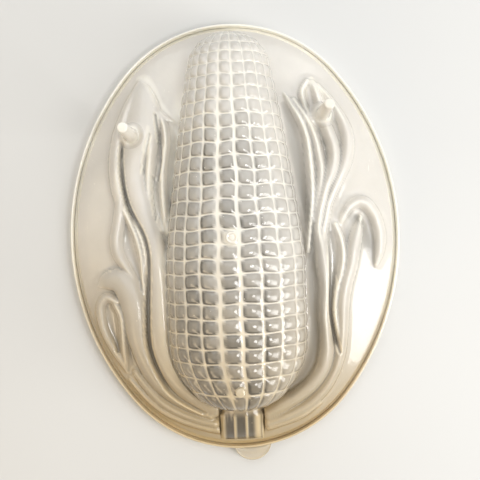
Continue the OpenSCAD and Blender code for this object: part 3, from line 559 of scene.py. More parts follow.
def mould_surface(s):
    """The mould as one closed shell: cob patch, rings out to the shoulder, rim, and the inside below.

    Ring points lie on straight spokes from the patch's edge to the oval at the same share of the way.
    On the left the cob's foot is filled up to the leaf that runs beside it."""
    wall = s.wall / MM
    patch, inner_patch, patch_thick, patch_clear_and_shade = cob_patch(s)
    side = patch[:, 0]
    ledge = relief(side[:, 0] - 1.0, side[:, 1], s.leaf_lift) - 0.2
    fill = np.maximum(ledge[:, None] - patch[:, :len(COLUMN_SHARES), 2], 0)
    patch[1:, :len(COLUMN_SHARES), 2] += (fill * step_up(BUTT_Y + 2, BUTT_Y + 8, side[:, 1])[:, None])[1:]
    lines, across = patch.shape[:2]
    loop = edge_loop(patch)
    spokes = len(loop)
    steps = np.hypot(*(np.roll(loop, -1, 0) - loop)[:, :2].T)
    share = np.concatenate([[0], np.cumsum(steps)[:-1]]) / steps.sum()
    share = blur_ring(share, 9)
    k = (np.arange(1, s.rings + 1) / s.rings)[:, None]
    rim = oval_points(share, WALL_IN + 0.5)
    xy = loop[None, :, :2] * (1 - k[..., None]) + rim[None] * k[..., None]
    away = np.hypot(*(xy - loop[None, :, :2]).transpose(2, 0, 1))
    height = soft_relief(xy[..., 0], xy[..., 1], s.leaf_lift) - dome(xy[..., 0], xy[..., 1])
    z = dome(xy[..., 0], xy[..., 1]) + height * np.clip(away / 0.8, 0, 1)
    for foot in (LEFT_FOOT, RIGHT_FOOT):
        base = relief(np.array([foot[0]]), np.array([foot[1]]), s.leaf_lift)[0]
        near = step_up(7.5, 4.0, np.hypot(xy[..., 0] - foot[0], xy[..., 1] - foot[1]))
        z = z * (1 - near) + base * near
    rings = np.dstack([xy, z])
    mouth_in = WALL_IN + wall
    profile = ((WALL_IN + 0.15, dome_edge(0.15)), (WALL_IN, 6.7), (WALL_IN, 3.6), (WALL_IN - 0.12, 3.32),
               (WALL_IN - 0.4, FLANGE_Z), (1.85, FLANGE_Z), (1.58, FLANGE_Z - 0.1), (1.5, FLANGE_Z - 0.35),
               (1.5, RIM_Z + 0.2), (1.65, RIM_Z), (mouth_in - 0.2, RIM_Z), (mouth_in, RIM_Z + 0.2),
               (mouth_in, SHOULDER_Z - 1.6 * wall))
    edge = np.stack([np.column_stack([oval_points(share, inset), np.full(spokes, up)])
                     for inset, up in profile])
    under = offset_below(np.concatenate([loop[None], rings]), wall)[1:]
    inner_loop = edge_loop(inner_patch)
    shift_in = (inner_loop - loop)[None, :, :2]
    shift_out = (oval_points(share, mouth_in + 0.4) - rim)[None]
    span = np.hypot(*(rim - loop[:, :2]).T)[None, :]
    near = np.clip(1 - span * np.minimum(k, 1 - k) / 5.0, 0, 1)[..., None]
    inner_xy = xy + near * (shift_in * (1 - k[..., None]) + shift_out * k[..., None])
    inner_rings = np.dstack([inner_xy, under])
    inner_rings[-1, :, 2] = SHOULDER_Z - wall * 1.2
    half_patch = inner_patch[::2, ::2]
    half_rings = inner_rings[1::2, ::2]
    counts = [patch.reshape(-1, 3), rings.reshape(-1, 3), edge.reshape(-1, 3),
              half_patch.reshape(-1, 3), half_rings.reshape(-1, 3)]
    starts = np.concatenate([[0], np.cumsum([len(c) for c in counts])])
    ids = np.arange(lines * across).reshape(lines, across)
    ids[0] = ids[0, 0]
    ring_ids = starts[1] + np.arange(rings.shape[0] * spokes).reshape(-1, spokes)
    edge_ids = starts[2] + np.arange(len(profile) * spokes).reshape(-1, spokes)
    faces = [patch_rings_faces(ids, edge_loop(ids), np.vstack([ring_ids, edge_ids]))]
    in_ids = starts[3] + np.arange(half_patch.shape[0] * half_patch.shape[1]).reshape(half_patch.shape[:2])
    in_ids[0] = in_ids[0, 0]
    in_rings = starts[4] + np.arange(half_rings.shape[0] * half_rings.shape[1]).reshape(half_rings.shape[:2])
    faces.append(patch_rings_faces(in_ids, edge_loop(in_ids), in_rings)[:, ::-1])
    last, first = edge_ids[-1], in_rings[-1]
    even, odd, after = last[::2], last[1::2], np.roll(last[::2], -1)
    following = np.roll(first, -1)
    faces.append(np.stack([even, first, odd], -1))
    faces.append(np.stack([odd, first, following], -1))
    faces.append(np.stack([odd, following, after], -1))
    crest, slot, leaf = leaf_masks(rings, s)
    inside = np.zeros(sum(len(c) for c in counts[3:]))
    rim_size = edge.size // 3
    # The rim takes the full pale colour of thicker plastic with its painted highlights; round the cob the
    # leaves' painted highlight and painted shade masks go on.
    thick = np.concatenate([patch_thick.ravel(), crest.ravel(), np.ones(rim_size), inside])
    clear_and_shade = np.concatenate([patch_clear_and_shade.ravel(), slot.ravel(), np.zeros(rim_size), inside])
    dull = np.concatenate([np.zeros(patch.size // 3), leaf.ravel(), np.zeros(rim_size), inside])
    return np.concatenate(counts), drop_flat(np.concatenate(faces))[:, ::-1], thick, clear_and_shade, dull


def dome_edge(inset):
    """Height of the dome a little inside the wall."""
    return SHOULDER_Z + 15.0 * (1 - (1 - inset / 46.0) ** 2.2) - 0.05


def leaf_masks(rings, s):
    """Masks round the cob: painted highlights on the crests and in the pale bands, painted shade in the hollows
    and in the clear bands, where the shaded inside shows through, and the leaves.

    Painted shade in a hollow is as deep as the mean height round 3.5 and 5.5 mm lies above it, and a narrow
    line of painted shade runs in each fold. Painted light covers the shaded crease beside the cob on the left,
    a painted highlight lies round the feet, and the painted shade is faint there, at the right leaf's tip and
    over the upper end. The raised leaves get a little painted shade towards the stem."""
    x, y, z = rings[..., 0], rings[..., 1], rings[..., 2]
    around = np.zeros(z.shape)
    fine = np.zeros(z.shape)
    for turn in np.arange(8) * math.pi / 4:
        fine += relief(x + math.cos(turn), y + math.sin(turn), s.leaf_lift) / 8
        for away in (3.5, 5.5):
            shift = turn + away
            around += relief(x + away * math.cos(shift), y + away * math.sin(shift), s.leaf_lift) / 16
    bands = [sum(ridge_field(x, y, smooth_run(run), lambda d, w: bulge(np.minimum(d / w, 1), 0.5), 0)
                 for run in runs) for runs in (PALE_BANDS, CLEAR_BANDS)]
    apart = np.ones(z.shape)
    pad = np.zeros(z.shape)
    # Round each foot a pad of painted highlight, and the other marks fade out near it.
    for foot in (LEFT_FOOT, RIGHT_FOOT):
        dist = np.hypot(x - foot[0], y - foot[1])
        apart = apart * step_up(6.5, 9.0, dist)
        pad = np.maximum(pad, 0.8 * step_up(6.5, 3.8, dist))
    # Painted light over the crease beside the cob on the left, which lies in shade.
    beside = step_up(7.0, 2.0, np.hypot(x - x[:1], y - y[:1])) * step_up(-8, -20, x) * step_up(-88, -70, y)
    beside = beside * step_up(85, 68, y)
    # Painted shade is faint beside the cob, at the right leaf's tip and over the upper end, where more light
    # falls.
    faint = np.maximum(beside, 0.7 * step_up(58, 72, y) * step_up(10, 25, x))
    faint = np.maximum(faint, 0.55 * step_up(0, 20, y))
    # Painted highlight on the crests and in the pale bands.
    crest = np.maximum(step_up(0.08, 0.45, z - fine), np.clip(bands[0], 0, 1)) * apart
    crest = np.maximum(np.maximum(crest, pad), 0.75 * beside)
    # Painted shade in the hollows, in each fold, on the raised leaves towards the stem, and in the clear bands.
    clear_and_shade = 0.32 * step_up(1.2, 3.6, around - z) * (1 - faint)
    fold = 0.5 * step_up(0.12, 0.6, fine - z) * (1 - beside)
    plate = 0.13 * step_up(3.0, 6.0, z - dome(x, y)) * step_up(20, -20, y)
    clear_and_shade = np.maximum(np.maximum(clear_and_shade, fold), np.maximum(plate, np.clip(bands[1], 0, 1))) * apart
    return crest, clear_and_shade, step_up(1.5, 3.5, z - dome(x, y)) * apart


def new_piece(name, points, faces, body, material, masks):
    """A mesh object from arrays in millimetres, smooth shaded, that rides on a body."""
    mesh = bpy.data.meshes.new(name)
    mesh.vertices.add(len(points))
    mesh.vertices.foreach_set("co", (np.asarray(points, np.float32) * MM).ravel())
    mesh.loops.add(faces.size)
    mesh.loops.foreach_set("vertex_index", faces.astype(np.int32).ravel())
    mesh.polygons.add(len(faces))
    mesh.polygons.foreach_set("loop_start", np.arange(0, faces.size, 3, dtype=np.int32))
    mesh.polygons.foreach_set("use_smooth", np.ones(len(faces), bool))
    for mask_name, values in masks.items():
        layer = mesh.attributes.new(mask_name, "FLOAT", "POINT")
        layer.data.foreach_set("value", values.astype(np.float32))
    mesh.update(calc_edges=True)
    mesh.validate()
    obj = bpy.data.objects.new(name, mesh)
    bpy.context.scene.collection.objects.link(obj)
    obj.data.materials.append(material)
    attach(obj, body)
    return obj


def turned_post(at, profile, steps=48):
    """A post as a profile of radius and height carried round a vertical axis, with closed poles."""
    angle = np.linspace(0, 2 * math.pi, steps, endpoint=False)
    radius, up = np.array(profile, float).T
    x = at[0] + radius[:, None] * np.cos(angle)
    y = at[1] + radius[:, None] * np.sin(angle)
    rows = np.stack([x, y, np.broadcast_to(up[:, None], x.shape)], -1)
    ids = np.arange(len(profile) * steps).reshape(len(profile), steps)
    ids[0] = ids[0, 0]
    ids[-1] = ids[-1, 0]
    after = np.roll(ids, -1, 1)
    faces = quads(ids[:-1], after[:-1], after[1:], ids[1:])
    return rows.reshape(-1, 3), drop_flat(faces)


def joined(parts):
    """Several surfaces as one set of points and faces."""
    starts = np.cumsum([0] + [len(p) for p, f in parts])
    return (np.concatenate([p for p, f in parts]),
            np.concatenate([f + start for (p, f), start in zip(parts, starts)]))


def used_only(points, faces, *masks):
    """Points that the faces use, the faces renumbered, and the masks of those points."""
    used, index = np.unique(faces, return_inverse=True)
    return (points[used], index.reshape(faces.shape), *(m[used] for m in masks))


def foot_surfaces(s):
    """The three standing feet with rounded tips, and the gate pip with its ring."""
    parts = []
    for at in (LEFT_FOOT, RIGHT_FOOT):
        base = relief(np.array([at[0]]), np.array([at[1]]), s.leaf_lift)[0]
        r = s.foot_width / MM / 2
        parts.append(turned_post(at, (
            (0, base - 0.8), (r + 1.1, base - 0.8), (r + 1.1, base - 0.1), (r + 0.8, base + 0.3),
            (r + 0.6, base + 1.2), (r + 0.45, base + 4), (r - 0.55, FEET_Z - 0.8), (r - 0.7, FEET_Z - 0.3),
            (r - 1.0, FEET_Z - 0.05), (r - 1.4, FEET_Z), (0, FEET_Z))))
    half, rise = s.cob_half / MM, s.cob_rise / MM
    length = TIP_Y - BUTT_Y
    for at, r, top in ((NUB, s.nub_width / MM / 2, FEET_Z), (PIP, s.pip_width / MM / 2, None)):
        t = np.array([(TIP_Y - at[1]) / length])
        h, up = cob_profile(t, half, rise, s.stem_half / MM, s.stem_rise / MM)
        crown = (dome(h, np.array([at[1]])) + up)[0] + s.kernel_height / MM
        if top is None:
            high = crown + 0.5
            profile = ((0, crown - 1.2), (r, crown - 1.2), (r, high - 0.3), (r - 0.2, high - 0.05),
                       (r - 0.5, high), (r - 0.9, high - 0.1), (r - 1.1, crown + 0.1),
                       (r - 1.5, crown + 0.1), (r - 1.7, high - 0.1), (r - 2.0, high), (0, high))
        else:
            profile = ((0, crown - 1.5), (r + 0.5, crown - 1.5), (r + 0.4, crown - 0.3),
                       (r + 0.05, crown + 0.4), (r, top - 0.6), (r - 0.2, top - 0.15),
                       (r - 0.6, top), (0, top))
        parts.append(turned_post(at, profile))
    return joined(parts)


def lid_tray(s):
    """The lid's panel, skirt and plug ridge: one profile carried round the oval, closed in its middle."""
    share = np.arange(s.steps) / s.steps
    panel, skirt = s.panel / MM, s.skirt / MM
    ridge_in = WALL_IN + 1.6 + 0.45
    top = panel + s.ridge / MM
    rows = ((12, 0), (0.35, 0), (0.08, 0.1), (0, 0.35), (0, 6.55), (0.1, 6.85), (0.35, 7.0),
            (skirt - 0.35, 7.0), (skirt - 0.1, 6.85), (skirt, 6.55), (skirt, panel + 0.25),
            (skirt + 0.2, panel), (ridge_in - 0.2, panel), (ridge_in, panel + 0.2),
            (ridge_in, top - 0.3), (ridge_in + 0.3, top), (ridge_in + 0.9, top),
            (ridge_in + 1.2, top - 0.3), (ridge_in + 1.2, panel + 0.2), (ridge_in + 1.4, panel),
            (12, panel))
    band = [np.column_stack([oval_points(share, inset), np.full(s.steps, up)]) for inset, up in rows]
    middle = band[0][:, :2]
    shrink = (0.75, 0.5, 0.25, 0.0)
    low = [np.column_stack([middle * f, np.zeros(s.steps)]) for f in shrink[::-1]]
    high = [np.column_stack([middle * f, np.full(s.steps, panel)]) for f in shrink]
    grid = np.stack(low + band + high)
    # The skirt takes the pale colour of thicker plastic, with a painted highlight along it.
    thick = np.zeros(grid.shape[:2])
    thick[len(low) + 1:len(low) + 11] = 1.0
    ids = np.arange(grid.shape[0] * s.steps).reshape(grid.shape[0], s.steps)
    ids[0] = ids[0, 0]
    ids[-1] = ids[-1, 0]
    after = np.roll(ids, -1, 1)
    faces = drop_flat(quads(ids[:-1], ids[1:], after[1:], after[:-1]))
    return grid.reshape(-1, 3), faces, thick.ravel()


def lid_tab(s):
    """The pull tab: a plate from the skirt out to an arc, with a raised bead round the arc.

    Its points lie between the skirt's line and the arc, at shares u of the way across."""
    r = s.tab_radius / MM
    cx, cy = s.tab_side / MM, r - 7.0 - HALF_L
    count = 72
    x = cx + np.linspace(-1, 1, count + 1) * r * 0.985
    angle = np.arccos(np.clip((x - cx) / r, -1, 1))
    arc = np.column_stack([x, cy - r * np.sin(angle)])
    root = np.column_stack([x, -END_C - np.sqrt((END_R - 0.6) ** 2 - x ** 2)])
    arc[:, 1] = np.minimum(arc[:, 1], root[:, 1] - 0.02)
    reach = root[:, 1] - arc[:, 1]
    profile = ((0.0, 6.5, 0), (0.5, 6.5, 0), (1, 6.5, 1.3), (1, 6.85, 1.0), (1, 7.0, 0.7), (1, 7.0, 0.4),
               (1, 6.85, 0.1), (1, 6.6, 0.0), (1, 6.2, 0.0), (1, 5.95, 0.15), (1, 5.8, 0.45), (0.5, 5.8, 0),
               (0.0, 5.8, 0))
    rows = []
    for u, up, back in profile:
        y = root[:, 1] - np.maximum(u * reach - back * np.minimum(1, reach / 3), 0)
        rows.append(np.column_stack([x, y, np.full(count + 1, up)]))
    grid = np.stack(rows)
    ids = np.arange(len(rows) * (count + 1)).reshape(len(rows), count + 1)
    faces = [quads(ids[:-1, :-1], ids[1:, :-1], ids[1:, 1:], ids[:-1, 1:]),
             quads(ids[-1:, :-1], ids[:1, :-1], ids[:1, 1:], ids[-1:, 1:])]
    for side, flip in ((0, False), (count, True)):
        ring = ids[:, side]
        fan = np.stack([np.full(len(ring) - 2, ring[0]), ring[2:], ring[1:-1]], -1)
        faces.append(fan[:, ::-1] if flip else fan)
    # The tab's bead takes the pale colour of thicker plastic, with a painted highlight along it.
    thick = np.zeros(grid.shape[:2])
    thick[3:10] = 1.0
    return grid.reshape(-1, 3), np.concatenate(faces), thick.ravel()


def node_setup(tree):
    """Helpers that add a node with its values and link two sockets in tree."""
    def add(kind, x, y, **values):
        node = tree.nodes.new(kind)
        node.location = (x, y)
        for key, value in values.items():
            setattr(node, key, value)
        return node
    return add, tree.links.new


def cloud_group():
    """Slow and fine variation of milky plastic: a shade near 1, flow lines, and a bump height."""
    group = bpy.data.node_groups.new("Milky cloud", "ShaderNodeTree")
    face = group.interface
    face.new_socket("Vector", in_out="INPUT", socket_type="NodeSocketVector")
    face.new_socket("Scale", in_out="INPUT", socket_type="NodeSocketFloat").default_value = 30.0
    face.new_socket("Shade", in_out="OUTPUT", socket_type="NodeSocketFloat")
    face.new_socket("Scratches", in_out="OUTPUT", socket_type="NodeSocketFloat")
    face.new_socket("Specks", in_out="OUTPUT", socket_type="NodeSocketFloat")
    face.new_socket("Height", in_out="OUTPUT", socket_type="NodeSocketFloat")
    add, link = node_setup(group)
    start = add("NodeGroupInput", -900, 0)
    end = add("NodeGroupOutput", 600, 0)
    cloud = add("ShaderNodeTexNoise", -600, 200)
    cloud.inputs["Detail"].default_value = 4.0
    cloud.inputs["Roughness"].default_value = 0.55
    link(start.outputs["Vector"], cloud.inputs["Vector"])
    link(start.outputs["Scale"], cloud.inputs["Scale"])
    spread = add("ShaderNodeMapRange", -300, 200)
    spread.inputs["From Min"].default_value = 0.3
    spread.inputs["From Max"].default_value = 0.7
    spread.inputs["To Min"].default_value = 0.93
    spread.inputs["To Max"].default_value = 1.05
    link(cloud.outputs["Fac"], spread.inputs["Value"])
    link(spread.outputs["Result"], end.inputs["Shade"])
    stretch = add("ShaderNodeMapping", -600, -100)
    stretch.inputs["Scale"].default_value = (900, 60, 300)
    stretch.inputs["Rotation"].default_value = (0, 0, 0.5)
    link(start.outputs["Vector"], stretch.inputs["Vector"])
    lines = add("ShaderNodeTexNoise", -400, -100)
    lines.inputs["Scale"].default_value = 1.0
    lines.inputs["Detail"].default_value = 3.0
    link(stretch.outputs["Vector"], lines.inputs["Vector"])
    scratch = add("ShaderNodeMapRange", -100, -100)
    scratch.inputs["From Min"].default_value = 0.68
    scratch.inputs["From Max"].default_value = 0.8
    link(lines.outputs["Fac"], scratch.inputs["Value"])
    link(scratch.outputs["Result"], end.inputs["Scratches"])
    cells = add("ShaderNodeTexVoronoi", -400, -400)
    cells.inputs["Scale"].default_value = 420.0
    link(start.outputs["Vector"], cells.inputs["Vector"])
    speck = add("ShaderNodeMapRange", -100, -400)
    speck.inputs["From Min"].default_value = 0.16
    speck.inputs["From Max"].default_value = 0.06
    link(cells.outputs["Distance"], speck.inputs["Value"])
    chance = add("ShaderNodeTexNoise", -400, -700)
    chance.inputs["Scale"].default_value = 160.0
    link(start.outputs["Vector"], chance.inputs["Vector"])
    rare = add("ShaderNodeMapRange", -100, -700)
    rare.inputs["From Min"].default_value = 0.6
    rare.inputs["From Max"].default_value = 0.68
    link(chance.outputs["Fac"], rare.inputs["Value"])
    both = add("ShaderNodeMath", 100, -500, operation="MULTIPLY")
    link(speck.outputs["Result"], both.inputs[0])
    link(rare.outputs["Result"], both.inputs[1])
    link(both.outputs["Value"], end.inputs["Specks"])
    ripple = add("ShaderNodeTexNoise", -400, -1000)
    ripple.inputs["Scale"].default_value = 260.0
    ripple.inputs["Detail"].default_value = 3.0
    link(start.outputs["Vector"], ripple.inputs["Vector"])
    height = add("ShaderNodeMath", 200, -900, operation="MULTIPLY_ADD")
    height.inputs[1].default_value = 0.5
    link(both.outputs["Value"], height.inputs[0])
    link(ripple.outputs["Fac"], height.inputs[2])
    link(height.outputs["Value"], end.inputs["Height"])
    return group


def plastic_material(name, colours, gloss, through, warm_light_share, cloud):
    """A milky plastic: its colour goes from plain towards the pale colour of thicker plastic with painted
    highlights, and towards the dark colour of clearer plastic with painted shade, by the surface's two masks.

    A painted warm tint, which stands in for warm light, grows towards the stem end and the left side, up to
    the given share."""
    plain, thick, thin_and_shade = colours
    material = bpy.data.materials.new(name)
    material.use_nodes = True
    tree = material.node_tree
    shader = tree.nodes["Principled BSDF"]
    add, link = node_setup(tree)
    place = add("ShaderNodeTexCoord", -1400, 0)
    wear = add("ShaderNodeGroup", -1150, 0)
    wear.node_tree = cloud
    link(place.outputs["Object"], wear.inputs["Vector"])
    colour = add("ShaderNodeMix", -800, 300, data_type="RGBA")
    colour.inputs["A"].default_value = (*plain, 1)
    colour.inputs["B"].default_value = (*thin_and_shade, 1)
    lines = add("ShaderNodeMix", -600, 300, data_type="RGBA")
    lines.inputs["B"].default_value = (*thick, 1)
    # Two masks from the surface: one paints shade where hollows and clearer plastic are, one paints highlights
    # where the plastic is thicker.
    clear_and_shade = add("ShaderNodeAttribute", -1100, 400, attribute_name="clear_and_shade")
    edge = add("ShaderNodeAttribute", -1100, 600, attribute_name="thick")
    link(clear_and_shade.outputs["Fac"], colour.inputs["Factor"])
    link(edge.outputs["Fac"], lines.inputs["Factor"])
    link(colour.outputs["Result"], lines.inputs["A"])
    dotted = add("ShaderNodeMix", -400, 300, data_type="RGBA")
    dotted.inputs["B"].default_value = (*thick, 1)
    link(lines.outputs["Result"], dotted.inputs["A"])
    link(wear.outputs["Specks"], dotted.inputs["Factor"])
    # Painted warm tint, standing in for warm light, stronger towards the stem end and the left side and a little
    # weaker in the painted shade.
    split = add("ShaderNodeSeparateXYZ", -1100, -300)
    link(place.outputs["Object"], split.inputs["Vector"])
    slant = add("ShaderNodeMath", -980, -300, operation="MULTIPLY_ADD")
    slant.inputs[1].default_value = 0.2
    link(split.outputs["X"], slant.inputs[0])
    link(split.outputs["Y"], slant.inputs[2])
    warm_fade = add("ShaderNodeMapRange", -850, -300, interpolation_type="SMOOTHSTEP")
    warm_fade.inputs["From Min"].default_value = 0.02
    warm_fade.inputs["From Max"].default_value = -0.128
    warm_fade.inputs["To Max"].default_value = warm_light_share
    link(slant.outputs["Value"], warm_fade.inputs["Value"])
    less = add("ShaderNodeMath", -850, -500, operation="MULTIPLY_ADD")
    less.inputs[1].default_value = -0.1
    less.inputs[2].default_value = 1.0
    link(clear_and_shade.outputs["Fac"], less.inputs[0])
    warm_amount = add("ShaderNodeMath", -650, -400, operation="MULTIPLY")
    link(warm_fade.outputs["Result"], warm_amount.inputs[0])
    link(less.outputs["Value"], warm_amount.inputs[1])
    warm_tinted = add("ShaderNodeMix", -300, 500, data_type="RGBA", blend_type="MULTIPLY")
    warm_tinted.inputs["B"].default_value = (0.63, 0.51, 0.31, 1)
    link(warm_amount.outputs["Value"], warm_tinted.inputs["Factor"])
    link(dotted.outputs["Result"], warm_tinted.inputs["A"])
    shade = add("ShaderNodeMix", -200, 300, data_type="RGBA", blend_type="MULTIPLY")
    shade.inputs["Factor"].default_value = 1.0
    link(warm_tinted.outputs["Result"], shade.inputs["A"])
    link(wear.outputs["Shade"], shade.inputs["B"])
    link(shade.outputs["Result"], shader.inputs["Base Color"])
    rough = add("ShaderNodeMapRange", -200, 0)
    rough.inputs["To Min"].default_value = gloss
    rough.inputs["To Max"].default_value = gloss + 0.2
    link(wear.outputs["Scratches"], rough.inputs["Value"])
    dull = add("ShaderNodeAttribute", -400, -150, attribute_name="dull")
    worn = add("ShaderNodeMath", 0, -100, operation="MULTIPLY_ADD")
    worn.inputs[1].default_value = 0.3
    link(dull.outputs["Fac"], worn.inputs[0])
    link(rough.outputs["Result"], worn.inputs[2])
    link(worn.outputs["Value"], shader.inputs["Roughness"])
    bump = add("ShaderNodeBump", -200, -300)
    bump.inputs["Strength"].default_value = 0.3
    bump.inputs["Distance"].default_value = 0.0006
    link(wear.outputs["Height"], bump.inputs["Height"])
    link(bump.outputs["Normal"], shader.inputs["Normal"])
    shader.inputs["IOR"].default_value = 1.5
    shader.inputs["Transmission Weight"].default_value = through
    shader.inputs["Subsurface Weight"].default_value = 0.4
    shader.inputs["Subsurface Radius"].default_value = (1.0, 0.95, 0.85)
    shader.inputs["Subsurface Scale"].default_value = 0.0015
    shader.inputs["Coat Weight"].default_value = 0.5
    shader.inputs["Coat Roughness"].default_value = 0.05
    return material


def finish_material(kind):
    """The finish of the mould, the lid or the lid's tab, made once."""
    finish = bpy.context.scene.jelly_finish
    # The last value is how much painted warm tint, standing in for warm light, each finish gets.
    name, plain, through, warm_light_share = {
        "mould": ("Milky plastic", finish.milk, 0.12, 1.0),
        "lid": ("Cloudy plastic", finish.clear, 0.15, 0.9),
        "tab": ("Clear plastic", finish.clear, 0.5, 0.6),
    }[kind]
    if name in bpy.data.materials:
        return bpy.data.materials[name]
    cloud = bpy.data.node_groups.get("Milky cloud") or cloud_group()
    colours = (plain, finish.thick, finish.thin_and_shade)
    return plastic_material(name, colours, finish.gloss, through, warm_light_share, cloud)


class JELLY_OT_mould(bpy.types.Operator):
    """Make the mould's shell with its cob, leaves, stem and rim"""

    bl_idname = "jelly.mould"
    bl_label = "Mould"

    def execute(self, context):
        settings = context.scene.jelly_mould
        points, faces, thick, clear_and_shade, dull = used_only(*mould_surface(settings))
        shell = new_piece("mould_shell", points, faces, "mould", finish_material("mould"),
                          {"thick": thick, "clear_and_shade": clear_and_shade, "dull": dull})
        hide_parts("mould")
        return {"FINISHED"}


class JELLY_OT_feet(bpy.types.Operator):
    """Make the mould's standing feet and its gate pip"""

    bl_idname = "jelly.feet"
    bl_label = "Feet"

    def execute(self, context):
        points, faces = used_only(*foot_surfaces(context.scene.jelly_mould))
        # The feet take half the pale colour of thicker plastic, as a painted highlight on them.
        masks = {"thick": np.full(len(points), 0.5), "clear_and_shade": np.zeros(len(points))}
        new_piece("mould_feet", points, faces, "mould", finish_material("mould"), masks)
        return {"FINISHED"}


class JELLY_OT_lid(bpy.types.Operator):
    """Make the lid's tray and pull tab"""

    bl_idname = "jelly.lid"
    bl_label = "Lid"

    def execute(self, context):
        settings = context.scene.jelly_lid
        points, faces, thick = used_only(*lid_tray(settings))
        masks = {"thick": thick, "clear_and_shade": np.zeros(len(thick))}
        tray = new_piece("lid_tray", points, faces, "lid", finish_material("lid"), masks)
        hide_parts("lid")
        points, faces, thick = lid_tab(settings)
        masks = {"thick": thick, "clear_and_shade": np.zeros(len(thick))}
        new_piece("lid_tab", points, faces, "lid", finish_material("tab"), masks)
        return {"FINISHED"}


class JELLY_OT_stage(bpy.types.Operator):
    """Make the pale floor, the soft lamps, the plain surroundings and the camera"""

    bl_idname = "jelly.stage"
    bl_label = "Stage"

    def execute(self, context):
        stage = context.scene.jelly_stage
        make_floor()
        make_world()
        level = stage.lamp_level
        make_lamp("window", (0.76, -0.31, 0.42), (0.5, 0.64), 6.1 * level, (1.0, 0.99, 0.97))
        make_lamp("bulb", (0.34, -0.12, 0.66), (0.22, 0.22), 1.8 * level, (1.0, 0.99, 0.97))
        make_lamp("sky", (0.04, 0.5, 0.5), (1.3, 0.9), 4.3 * level, (0.96, 0.98, 1.0))
        make_lamp("ceiling", (-0.2, 0.05, 0.75), (0.7, 0.7), 1.0 * level, (1.0, 0.97, 0.92))
        make_lamp("room", (-0.75, -0.05, 0.5), (0.7, 0.6), 1.0 * level, (1.0, 0.84, 0.56))
        make_lamp("table", (-0.5, -0.5, 0.3), (0.6, 0.25), 1.5 * level, (1.0, 0.78, 0.5))
        camera = bpy.data.objects.new("camera", bpy.data.cameras.new("camera"))
        camera.data.sensor_fit = "HORIZONTAL"
        camera.data.angle = stage.view
        camera.location = (0.0027, -0.0025, stage.height)
        camera.rotation_euler = (0, 0, -stage.roll)
        context.scene.collection.objects.link(camera)
        context.scene.camera = camera
        context.scene.view_settings.view_transform = "Standard"
        return {"FINISHED"}


def make_floor():
    """A pale floor, 3 m square, with a faint cloud in its colour."""
    mesh = bpy.data.meshes.new("floor")
    mesh.from_pydata([(-1.5, -1.5, 0), (1.5, -1.5, 0), (1.5, 1.5, 0), (-1.5, 1.5, 0)], [], [(0, 1, 2, 3)])
    floor = bpy.data.objects.new("floor", mesh)
    bpy.context.scene.collection.objects.link(floor)
    material = bpy.data.materials.new("Pale floor")
    material.use_nodes = True
    tree = material.node_tree
    shader = tree.nodes["Principled BSDF"]
    add, link = node_setup(tree)
    place = add("ShaderNodeTexCoord", -800, 0)
    cloud = add("ShaderNodeTexNoise", -600, 0)
    cloud.inputs["Scale"].default_value = 6.0
    link(place.outputs["Object"], cloud.inputs["Vector"])
    colour = add("ShaderNodeMix", -300, 0, data_type="RGBA")
    colour.inputs["A"].default_value = (0.60, 0.60, 0.59, 1)
    colour.inputs["B"].default_value = (0.64, 0.64, 0.63, 1)
    link(cloud.outputs["Fac"], colour.inputs["Factor"])
    link(colour.outputs["Result"], shader.inputs["Base Color"])
    shader.inputs["Roughness"].default_value = 0.7
    floor.data.materials.append(material)
    return floor


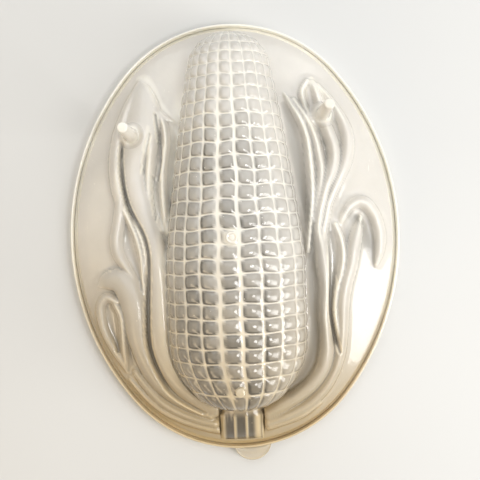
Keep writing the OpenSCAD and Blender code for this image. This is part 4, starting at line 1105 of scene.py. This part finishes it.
def make_world():
    """Plain surroundings: white to the camera and in reflections, and a soft level on the object."""
    world = bpy.data.worlds.new("surroundings")
    bpy.context.scene.world = world
    world.use_nodes = True
    tree = world.node_tree
    tree.nodes.clear()
    add, link = node_setup(tree)
    path = add("ShaderNodeLightPath", -600, 0)
    mirrored = add("ShaderNodeMath", -400, -200, operation="MAXIMUM")
    link(path.outputs["Is Glossy Ray"], mirrored.inputs[0])
    link(path.outputs["Is Transmission Ray"], mirrored.inputs[1])
    seen = add("ShaderNodeMath", -400, 0, operation="MAXIMUM")
    link(path.outputs["Is Camera Ray"], seen.inputs[0])
    link(mirrored.outputs["Value"], seen.inputs[1])
    level = add("ShaderNodeMapRange", -200, 0)
    level.inputs["To Min"].default_value = 0.22
    level.inputs["To Max"].default_value = 1.0
    link(seen.outputs["Value"], level.inputs["Value"])
    glow = add("ShaderNodeBackground", 0, 0)
    link(level.outputs["Result"], glow.inputs["Strength"])
    end = add("ShaderNodeOutputWorld", 200, 0)
    link(glow.outputs["Background"], end.inputs["Surface"])
    return world


def make_lamp(name, place, size, power, colour):
    """A rectangular soft lamp that points at the middle of the mould."""
    data = bpy.data.lights.new(name, "AREA")
    data.shape = "RECTANGLE"
    data.size, data.size_y = size
    data.energy = power
    data.color = colour
    lamp = bpy.data.objects.new(name, data)
    lamp.location = place
    to_mould = -lamp.location
    lamp.rotation_euler = to_mould.to_track_quat("-Z", "Y").to_euler()
    bpy.context.scene.collection.objects.link(lamp)
    return lamp


class JELLY_PT_panel(bpy.types.Panel):
    """Lists the pieces of the jelly mould and the settings that they use"""

    bl_idname = "JELLY_PT_panel"
    bl_label = "Jelly mould"
    bl_space_type = "VIEW_3D"
    bl_region_type = "UI"
    bl_category = "Jelly mould"

    def draw(self, context):
        layout = self.layout
        for operator in (JELLY_OT_mould, JELLY_OT_feet, JELLY_OT_lid, JELLY_OT_stage):
            layout.operator(operator.bl_idname)
        for settings in SETTINGS:
            group = getattr(context.scene, settings)
            for name in SETTINGS[settings].__annotations__:
                layout.prop(group, name)


SETTINGS = {
    "jelly_mould": MouldSettings,
    "jelly_lid": LidSettings,
    "jelly_finish": FinishSettings,
    "jelly_stage": StageSettings,
}
CLASSES = (*SETTINGS.values(), JELLY_OT_mould, JELLY_OT_feet, JELLY_OT_lid, JELLY_OT_stage, JELLY_PT_panel)


def register():
    """Register the settings, operators and panel."""
    for cls in CLASSES:
        bpy.utils.register_class(cls)
    for name, cls in SETTINGS.items():
        setattr(bpy.types.Scene, name, bpy.props.PointerProperty(type=cls))


def unregister():
    """Remove the panel, operators and settings."""
    for name in SETTINGS:
        delattr(bpy.types.Scene, name)
    for cls in reversed(CLASSES):
        bpy.utils.unregister_class(cls)


def main():
    """Make the mould, its feet, the lid and the stage."""
    register()
    bpy.ops.jelly.mould()
    bpy.ops.jelly.feet()
    bpy.ops.jelly.lid()
    bpy.ops.jelly.stage()


if __name__ == "__main__":
    main()
